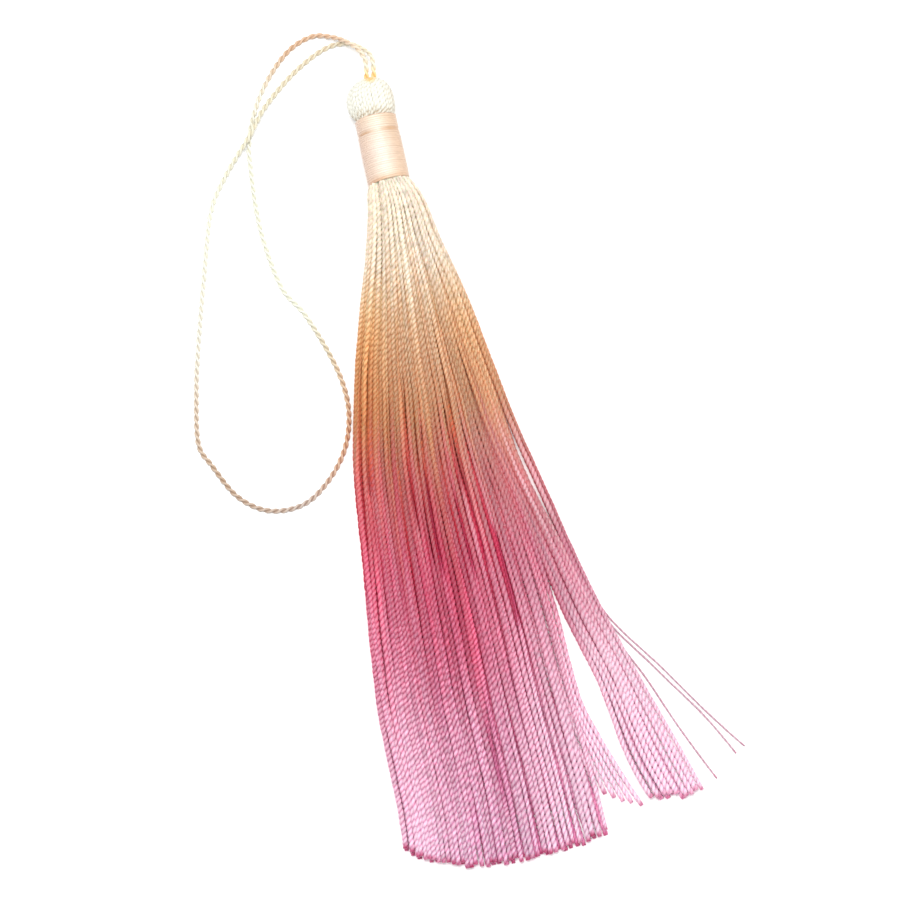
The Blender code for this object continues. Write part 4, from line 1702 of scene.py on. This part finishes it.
@dataclass
class Head:
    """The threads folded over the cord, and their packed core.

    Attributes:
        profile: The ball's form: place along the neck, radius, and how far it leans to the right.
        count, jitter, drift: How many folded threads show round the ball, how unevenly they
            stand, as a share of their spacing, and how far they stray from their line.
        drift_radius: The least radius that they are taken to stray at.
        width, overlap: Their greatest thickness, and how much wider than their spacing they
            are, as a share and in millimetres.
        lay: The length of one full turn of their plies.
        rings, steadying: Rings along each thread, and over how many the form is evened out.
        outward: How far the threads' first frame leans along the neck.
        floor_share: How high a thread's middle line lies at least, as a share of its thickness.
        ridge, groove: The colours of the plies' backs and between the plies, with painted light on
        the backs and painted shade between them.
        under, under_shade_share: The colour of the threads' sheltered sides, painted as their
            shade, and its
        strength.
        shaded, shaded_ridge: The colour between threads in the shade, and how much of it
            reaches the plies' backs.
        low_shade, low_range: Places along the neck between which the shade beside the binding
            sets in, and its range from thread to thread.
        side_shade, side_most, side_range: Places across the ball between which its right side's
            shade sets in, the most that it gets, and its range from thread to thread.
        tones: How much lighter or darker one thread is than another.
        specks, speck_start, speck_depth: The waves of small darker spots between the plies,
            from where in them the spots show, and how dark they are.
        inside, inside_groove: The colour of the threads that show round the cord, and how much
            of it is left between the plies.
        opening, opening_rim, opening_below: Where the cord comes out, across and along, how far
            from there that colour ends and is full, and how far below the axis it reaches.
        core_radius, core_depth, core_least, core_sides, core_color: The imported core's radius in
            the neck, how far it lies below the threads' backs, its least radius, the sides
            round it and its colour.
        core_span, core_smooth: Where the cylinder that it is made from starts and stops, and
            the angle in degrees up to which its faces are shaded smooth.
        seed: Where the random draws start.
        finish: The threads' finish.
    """

    profile: tuple[tuple[float, float, float], ...] = (
        (10.4, 3.0, 0.0), (11.1, 3.05, 0.0), (11.6, 3.35, 0.0), (12.3, 3.78, -0.1),
        (13.2, 3.98, -0.2), (14.6, 3.98, -0.2), (15.6, 3.72, -0.1), (16.5, 3.18, 0.0),
        (17.15, 2.45, 0.1), (17.6, 1.55, 0.2), (17.85, 0.75, 0.25),
    )
    count: int = 40
    jitter: float = 0.08
    drift: Wander = Wander(0.06, 8.0, 20.0)
    drift_radius: float = 1.0
    width: float = 0.8
    overlap: Span = (1.3, 0.08)
    lay: float = 1.6
    rings: int = 52
    steadying: int = 5
    outward: float = 0.35
    floor_share: float = 0.54
    # The threads' own colour, with painted light on the ply backs and painted shade between them
    # and on the sheltered sides.
    ridge: Color = (222.0, 222.0, 212.0)
    groove: Color = (216.0, 213.0, 198.0)
    under: Color = (250.0, 244.0, 228.0)
    under_shade_share: float = 0.7
    shaded: Color = (164.0, 138.0, 104.0)
    shaded_ridge: float = 0.18
    low_shade: Span = (12.7, 11.6)
    low_range: Span = (0.3, 1.0)
    side_shade: Span = (1.4, 3.4)
    side_most: float = 0.8
    side_range: Span = (0.2, 1.0)
    tones: float = 0.012
    specks: Wander = Wander(1.0, 0.9, 2.6)
    speck_start: float = 0.1
    speck_depth: float = 0.16
    inside: Color = (240.0, 196.0, 116.0)
    inside_groove: float = 0.85
    opening: Span = (0.45, 17.3)
    opening_rim: Span = (1.215, 0.315)
    opening_below: float = 1.0
    core_radius: float = 2.6
    core_depth: float = 0.38
    core_least: float = 0.25
    core_sides: int = 40
    core_color: Color = (214.0, 196.0, 160.0)
    core_span: Span = (-1.0, 15.0)
    core_smooth: float = 50.0
    seed: int = 11
    finish: YarnFinish = YarnFinish(
        name="cream_threads", roughness=0.42, specular=0.5, sheen=0.15, coarseness=20.0,
        lean=-0.6, relief=0.00003,
    )

    def core(self) -> bpy.types.Object:
        """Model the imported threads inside: a ball on a neck, from one cylinder.

        Returns:
            The core.
        """
        item = add_neck_cylinder(
            "head_core", self.core_sides, self.core_radius, *self.core_span
        )
        bpy.ops.object.mode_set(mode="EDIT")
        bpy.ops.mesh.select_mode(type="FACE")
        radius, along, sideways = self.core_radius, self.core_span[1], 0.0
        select_end_face(item, +1)
        bpy.ops.transform.translate(value=(0.0, (self.profile[1][0] - along) * MM, 0.0))
        along = self.profile[1][0]
        for place, outer, lean in self.profile[2:]:
            select_end_face(item, +1)
            shift = (place - along) * MM
            bpy.ops.mesh.extrude_region_move(TRANSFORM_OT_translate={"value": (0.0, shift, 0.0)})
            grow = max(self.core_least, outer - self.core_depth) / radius
            bpy.ops.transform.resize(
                value=(grow, 1.0, grow),
                center_override=tuple(to_world(np.array((sideways, place, AXIS_HEIGHT)))),
            )
            bpy.ops.transform.translate(value=((lean - sideways) * MM, 0.0, 0.0))
            radius, along, sideways = radius * grow, place, lean
        bpy.ops.object.mode_set(mode="OBJECT")
        bpy.ops.object.shade_smooth_by_angle(angle=math.radians(self.core_smooth))
        settle(item, CoreFinish("packed_threads", self.core_color).material())
        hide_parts("thread_bundle")
        return item

    def folds(self) -> bpy.types.Object:
        """Model the folded threads over the ball.

        Returns:
            Their joined mesh.
        """
        rng = np.random.default_rng(self.seed)
        table = np.array(self.profile)
        steps = walked(table)
        fine = np.linspace(0.0, steps[-1], self.rings)
        along = smooth_table(steps, table[:, 0], fine)
        radius = np.pad(np.interp(fine, steps, table[:, 1]), self.steadying // 2, mode="edge")
        radius = np.convolve(radius, np.ones(self.steadying) / self.steadying, mode="valid")
        sideways = np.interp(along, table[:, 0], table[:, 2])
        pitch = math.tau * radius / self.count
        widths = np.minimum(self.width, pitch * self.overlap[0] + self.overlap[1])
        reach = radius - widths / 2
        mesh = YarnMesh(PLAIN_YARN, Twist.LEFT)
        for number in range(self.count):
            angle = math.tau * (number + rng.uniform(-self.jitter, self.jitter)) / self.count
            turn = angle + self.drift.draw(rng, fine) / np.maximum(radius, self.drift_radius)
            cos, sin = np.cos(turn), np.sin(turn)
            height = np.maximum(AXIS_HEIGHT + reach * sin, widths * self.floor_share)
            points = np.stack((sideways + reach * cos, along, height), axis=-1)
            ridge, groove = self.dye_and_painted_light(points, rng)
            mesh.add(
                YarnRun(
                    points=points,
                    widths=widths,
                    lays=np.full(len(fine), self.lay),
                    ridge=ridge,
                    groove=groove,
                    start_turn=rng.uniform(0.0, math.tau),
                    up=np.stack((cos, np.full_like(turn, self.outward), sin), axis=-1),
                    # Painted shade: the colour put on the sheltered sides in place of their shade.
                    under=mix(ridge, np.array(self.under), self.under_shade_share),
                )
            )
        item = mesh.build("head_folds")
        settle(item, self.finish.material())
        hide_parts("thread_bundle")
        return item

    def dye_and_painted_light(self, points: np.ndarray, rng: np.random.Generator) -> tuple[np.ndarray, np.ndarray]:
        """Return a folded thread's colours along its length, with painted light and shade in them.

        Args:
            points: Its middle line.
            rng: The source of its unevenness.

        Returns:
            The screen colours of its plies' backs and of its grooves.
        """
        across, along, height = points.T
        tone = 1.0 + rng.normal(0.0, self.tones)
        ridge = np.tile(np.array(self.ridge), (len(points), 1)) * tone
        groove = np.tile(np.array(self.groove), (len(points), 1)) * tone
        speck = np.clip(self.specks.draw(rng, along) - self.speck_start, 0.0, 1.0)
        groove = groove * (1.0 - self.speck_depth * speck[:, None])
        low = climb(along, *self.low_shade) * rng.uniform(*self.low_range)
        aside = np.minimum(climb(across, *self.side_shade), self.side_most)
        shade = np.maximum(low, aside * rng.uniform(*self.side_range))[:, None]
        shaded, inside = np.array(self.shaded), np.array(self.inside)
        groove = mix(groove, shaded, shade)
        ridge = mix(ridge, shaded, self.shaded_ridge * shade)
        gap = np.hypot(across - self.opening[0], along - self.opening[1])
        near = climb(gap, *self.opening_rim)
        near = (near * (height > AXIS_HEIGHT - self.opening_below))[:, None]
        ridge, groove = mix(ridge, inside, near), mix(groove, inside * self.inside_groove, near)
        return np.clip(ridge, 0, 255), np.clip(groove, 0, 255)


def add_neck_cylinder(name: str, sides: int, radius: float, start: float,
                      stop: float) -> bpy.types.Object:
    """Add a cylinder along the neck's axis, with its place in its mesh.

    Args:
        name: Its name.
        sides: Sides round it.
        radius: Its radius.
        start: Where it starts along the neck.
        stop: Where it ends.

    Returns:
        The cylinder, selected and active.
    """
    clear_selection()
    bpy.ops.mesh.primitive_cylinder_add(
        vertices=sides, radius=radius * MM, depth=(stop - start) * MM,
        location=to_world(np.array((0.0, (start + stop) / 2, AXIS_HEIGHT))),
        rotation=(math.pi / 2, 0.0, 0.0),
    )
    item = bpy.context.active_object
    item.name = item.data.name = name
    bpy.ops.object.transform_apply(location=True, rotation=True, scale=True)
    return item


def select_end_face(item: bpy.types.Object, way: int) -> None:
    """Select the one face at an end of a turned piece that is in edit mode.

    Args:
        item: The piece.
        way: +1 for the end towards the head, -1 for the other.
    """
    bpy.ops.mesh.select_all(action="DESELECT")
    bpy.ops.object.mode_set(mode="OBJECT")
    faces = item.data.polygons
    best = max(faces, key=lambda face: (way * face.normal.y > END_FACE, way * face.center.y))
    best.select = True
    bpy.ops.object.mode_set(mode="EDIT")


@dataclass
class Binding:
    """The fine thread wound round the neck.

    Attributes:
        length, outline: How much of the neck it covers, and its outer radius by place along it.
        thread, flattened: The wound thread's thickness, and how much thicker it is drawn,
            pressed between its neighbours.
        turns, per_turn: How many turns show, and the rings to a turn.
        ripple: How far the turns wave along the neck, their waves by turn, and where they start.
        looseness: How far the turns stand out or in.
        tilt, tilted: How far the lowest turns hang lower at the left, and the places along the
            neck between which that sets in.
        palette, tones: Its colour by place along the neck, darker at the lower edge as a painted
        contact shadow, and how uneven that is.
        between: How much of the colour is left between two turns, as painted shade.
        left, right: The colours of the painted shade at its sides, where it turns away from the
            light.
        faces: The direction that is the right side's middle, in radians from the picture's right.
        turning, turned_share: How far round and how fast that painted shade sets in, and its
            strength.
        seam, groove_shade_spot, groove_shade_share: The colour of the painted shade in the groove
        near the upper end, its place and width, and the colour's strength.
        groove_shade_sides: How soon it shows towards the sides, and how much of it shows above.
        wall_radius, wall_thickness, wall_hollow, wall_short, wall_sides, wall_color: The packed
            turns' radius, the wall's thickness at its hollow ends, how deep these are, how much
            shorter it is than the binding, the sides round it and its colour.
        wall_smooth: The angle in degrees up to which its faces are shaded smooth.
        seed: Where the random draws start.
        finish: The wound thread's finish.
    """

    length: float = 11.2
    outline: tuple[Span, ...] = (
        (0.0, 3.42), (0.6, 3.5), (3.0, 3.52), (8.0, 3.47), (8.45, 3.36), (8.9, 3.44),
        (10.8, 3.44), (11.2, 3.36),
    )
    thread: float = 0.4
    flattened: float = 1.16
    turns: int = 31
    per_turn: int = 56
    ripple: tuple[float, float, float] = (0.035, 1.7, 0.6)
    looseness: Wander = Wander(0.015, 0.8, 4.0)
    tilt: float = 0.255
    tilted: Span = (5.0, 0.0)
    # Darker at the lower edge, as a painted contact shadow.
    palette: Palette = Palette((
        (0.0, 190, 140, 100), (0.35, 216, 188, 162), (1.2, 226, 210, 194), (5.0, 226, 211, 198),
        (8.1, 222, 206, 189), (8.8, 224, 210, 194), (11.2, 220, 203, 182),
    ))
    tones: Wander = Wander(0.03, 0.9, 3.0)
    between: float = 0.97
    left: Color = (204.0, 168.0, 146.0)
    right: Color = (196.0, 158.0, 124.0)
    faces: float = 0.1
    turning: Span = (0.25, 1.3)
    turned_share: float = 0.75
    groove_shade: Color = (178.0, 132.0, 92.0)
    groove_shade_spot: Span = (8.45, 0.2)
    groove_shade_share: float = 0.8
    groove_shade_sides: Span = (1.7, 0.15)
    wall_radius: float = 3.25
    wall_thickness: float = 0.18
    wall_hollow: float = 1.5
    wall_short: float = 0.3
    wall_sides: int = 48
    wall_color: Color = (224.0, 180.0, 156.0)
    wall_smooth: float = 40.0
    seed: int = 3
    finish: YarnFinish = YarnFinish(
        name="peach_binding", roughness=0.34, specular=0.5, sheen=0.1, coarseness=8.0,
        lean=0.0, relief=0.00002,
    )

    def wall(self) -> bpy.types.Object:
        """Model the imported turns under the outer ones, from a cylinder with hollow ends.

        Returns:
            The wall.
        """
        inset = self.wall_short / 2
        item = add_neck_cylinder(
            "binding_wall", self.wall_sides, self.wall_radius, inset, self.length - inset
        )
        bpy.ops.object.mode_set(mode="EDIT")
        bpy.ops.mesh.select_mode(type="FACE")
        for way in (1, -1):
            select_end_face(item, way)
            bpy.ops.mesh.inset(thickness=self.wall_thickness * MM, depth=0.0)
            bpy.ops.mesh.extrude_region_move(
                TRANSFORM_OT_translate={"value": (0.0, -way * self.wall_hollow * MM, 0.0)}
            )
        bpy.ops.object.mode_set(mode="OBJECT")
        bpy.ops.object.shade_smooth_by_angle(angle=math.radians(self.wall_smooth))
        settle(item, CoreFinish("packed_turns", self.wall_color).material())
        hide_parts("neck_binding")
        return item

    def winding(self) -> bpy.types.Object:
        """Model the outer turns as one long wound thread.

        Returns:
            The winding.
        """
        rng = np.random.default_rng(self.seed)
        count = self.turns * self.per_turn
        turn = np.arange(count + 1) / self.per_turn
        angle = math.tau * turn
        cos, sin = np.cos(angle), np.sin(angle)
        along = self.thread / 2 + (self.length - self.thread) * np.arange(count + 1) / count
        reach, rate, lead = self.ripple
        along = along + reach * np.sin(turn * rate) * np.sin(angle + lead)
        along = along + self.tilt * cos * climb(along, *self.tilted)
        width = self.thread * self.flattened
        radius = smooth_table(*np.array(self.outline).T, along) - width / 2
        radius = radius + self.looseness.draw(rng, turn)
        tone = 1.0 + self.tones.draw(rng, turn)
        # Painted shade from the palette's lower edge, and from _shade at the sides and in the
        # groove.
        ridge = self._shade(self.palette.at(along) * tone[:, None], along, angle)
        mesh = YarnMesh(ROUND_THREAD, Twist.RIGHT)
        mesh.add(
            YarnRun(
                points=np.stack((radius * cos, along, AXIS_HEIGHT + radius * sin), axis=-1),
                widths=np.full(count + 1, width),
                lays=np.full(count + 1, math.inf),
                ridge=ridge,
                # Painted shade between the turns.
                groove=ridge * self.between,
                start_turn=0.0,
                up=np.stack((cos, np.zeros_like(angle), sin), axis=-1),
            )
        )
        item = mesh.build("binding_turns")
        settle(item, self.finish.material())
        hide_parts("neck_binding")
        return item

    def _shade(self, color: np.ndarray, along: np.ndarray, angle: np.ndarray) -> np.ndarray:
        """Paint shade on the turns at the binding's sides and in its groove.

        Args:
            color: The screen colours along the wound thread.
            along: The places along the neck there.
            angle: The places round it there, in radians.

        Returns:
            The shaded screen colours.
        """
        # Painted shade at the sides, where the round binding turns away from the light.
        facing = np.cos(angle - self.faces)
        turned = climb(np.abs(facing) * self.turning[1], self.turning[0], 1.0 + self.turning[0])
        beside = np.where(facing[:, None] > 0, np.array(self.right), np.array(self.left))
        color = mix(color, beside, self.turned_share * turned[:, None])
        # Painted shade in the groove near the upper end, fainter on top.
        shown = np.clip(np.abs(facing) * self.groove_shade_sides[0], self.groove_shade_sides[1], 1.0)
        groove_shade = self.groove_shade_share * swell(along, *self.groove_shade_spot) * shown
        return np.clip(mix(color, np.array(self.groove_shade), groove_shade[:, None]), 0, 255)


# --- The whole --------------------------------------------


def main() -> None:
    """Build the tassel on its floor, and log each piece's face count."""
    logging.basicConfig(level=logging.INFO, format="%(name)s: %(message)s")
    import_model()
    studio = Studio()
    studio.place_camera()
    studio.light()
    head, binding = Head(), Binding()
    pieces = [HangingCord().build(), *Skirt().build(), head.core(), head.folds()]
    pieces += [binding.wall(), binding.winding(), studio.lay_floor()]
    for piece in pieces:
        LOG.info("%s: %d faces", piece.name, len(piece.data.polygons))


if __name__ == "__main__":
    main()
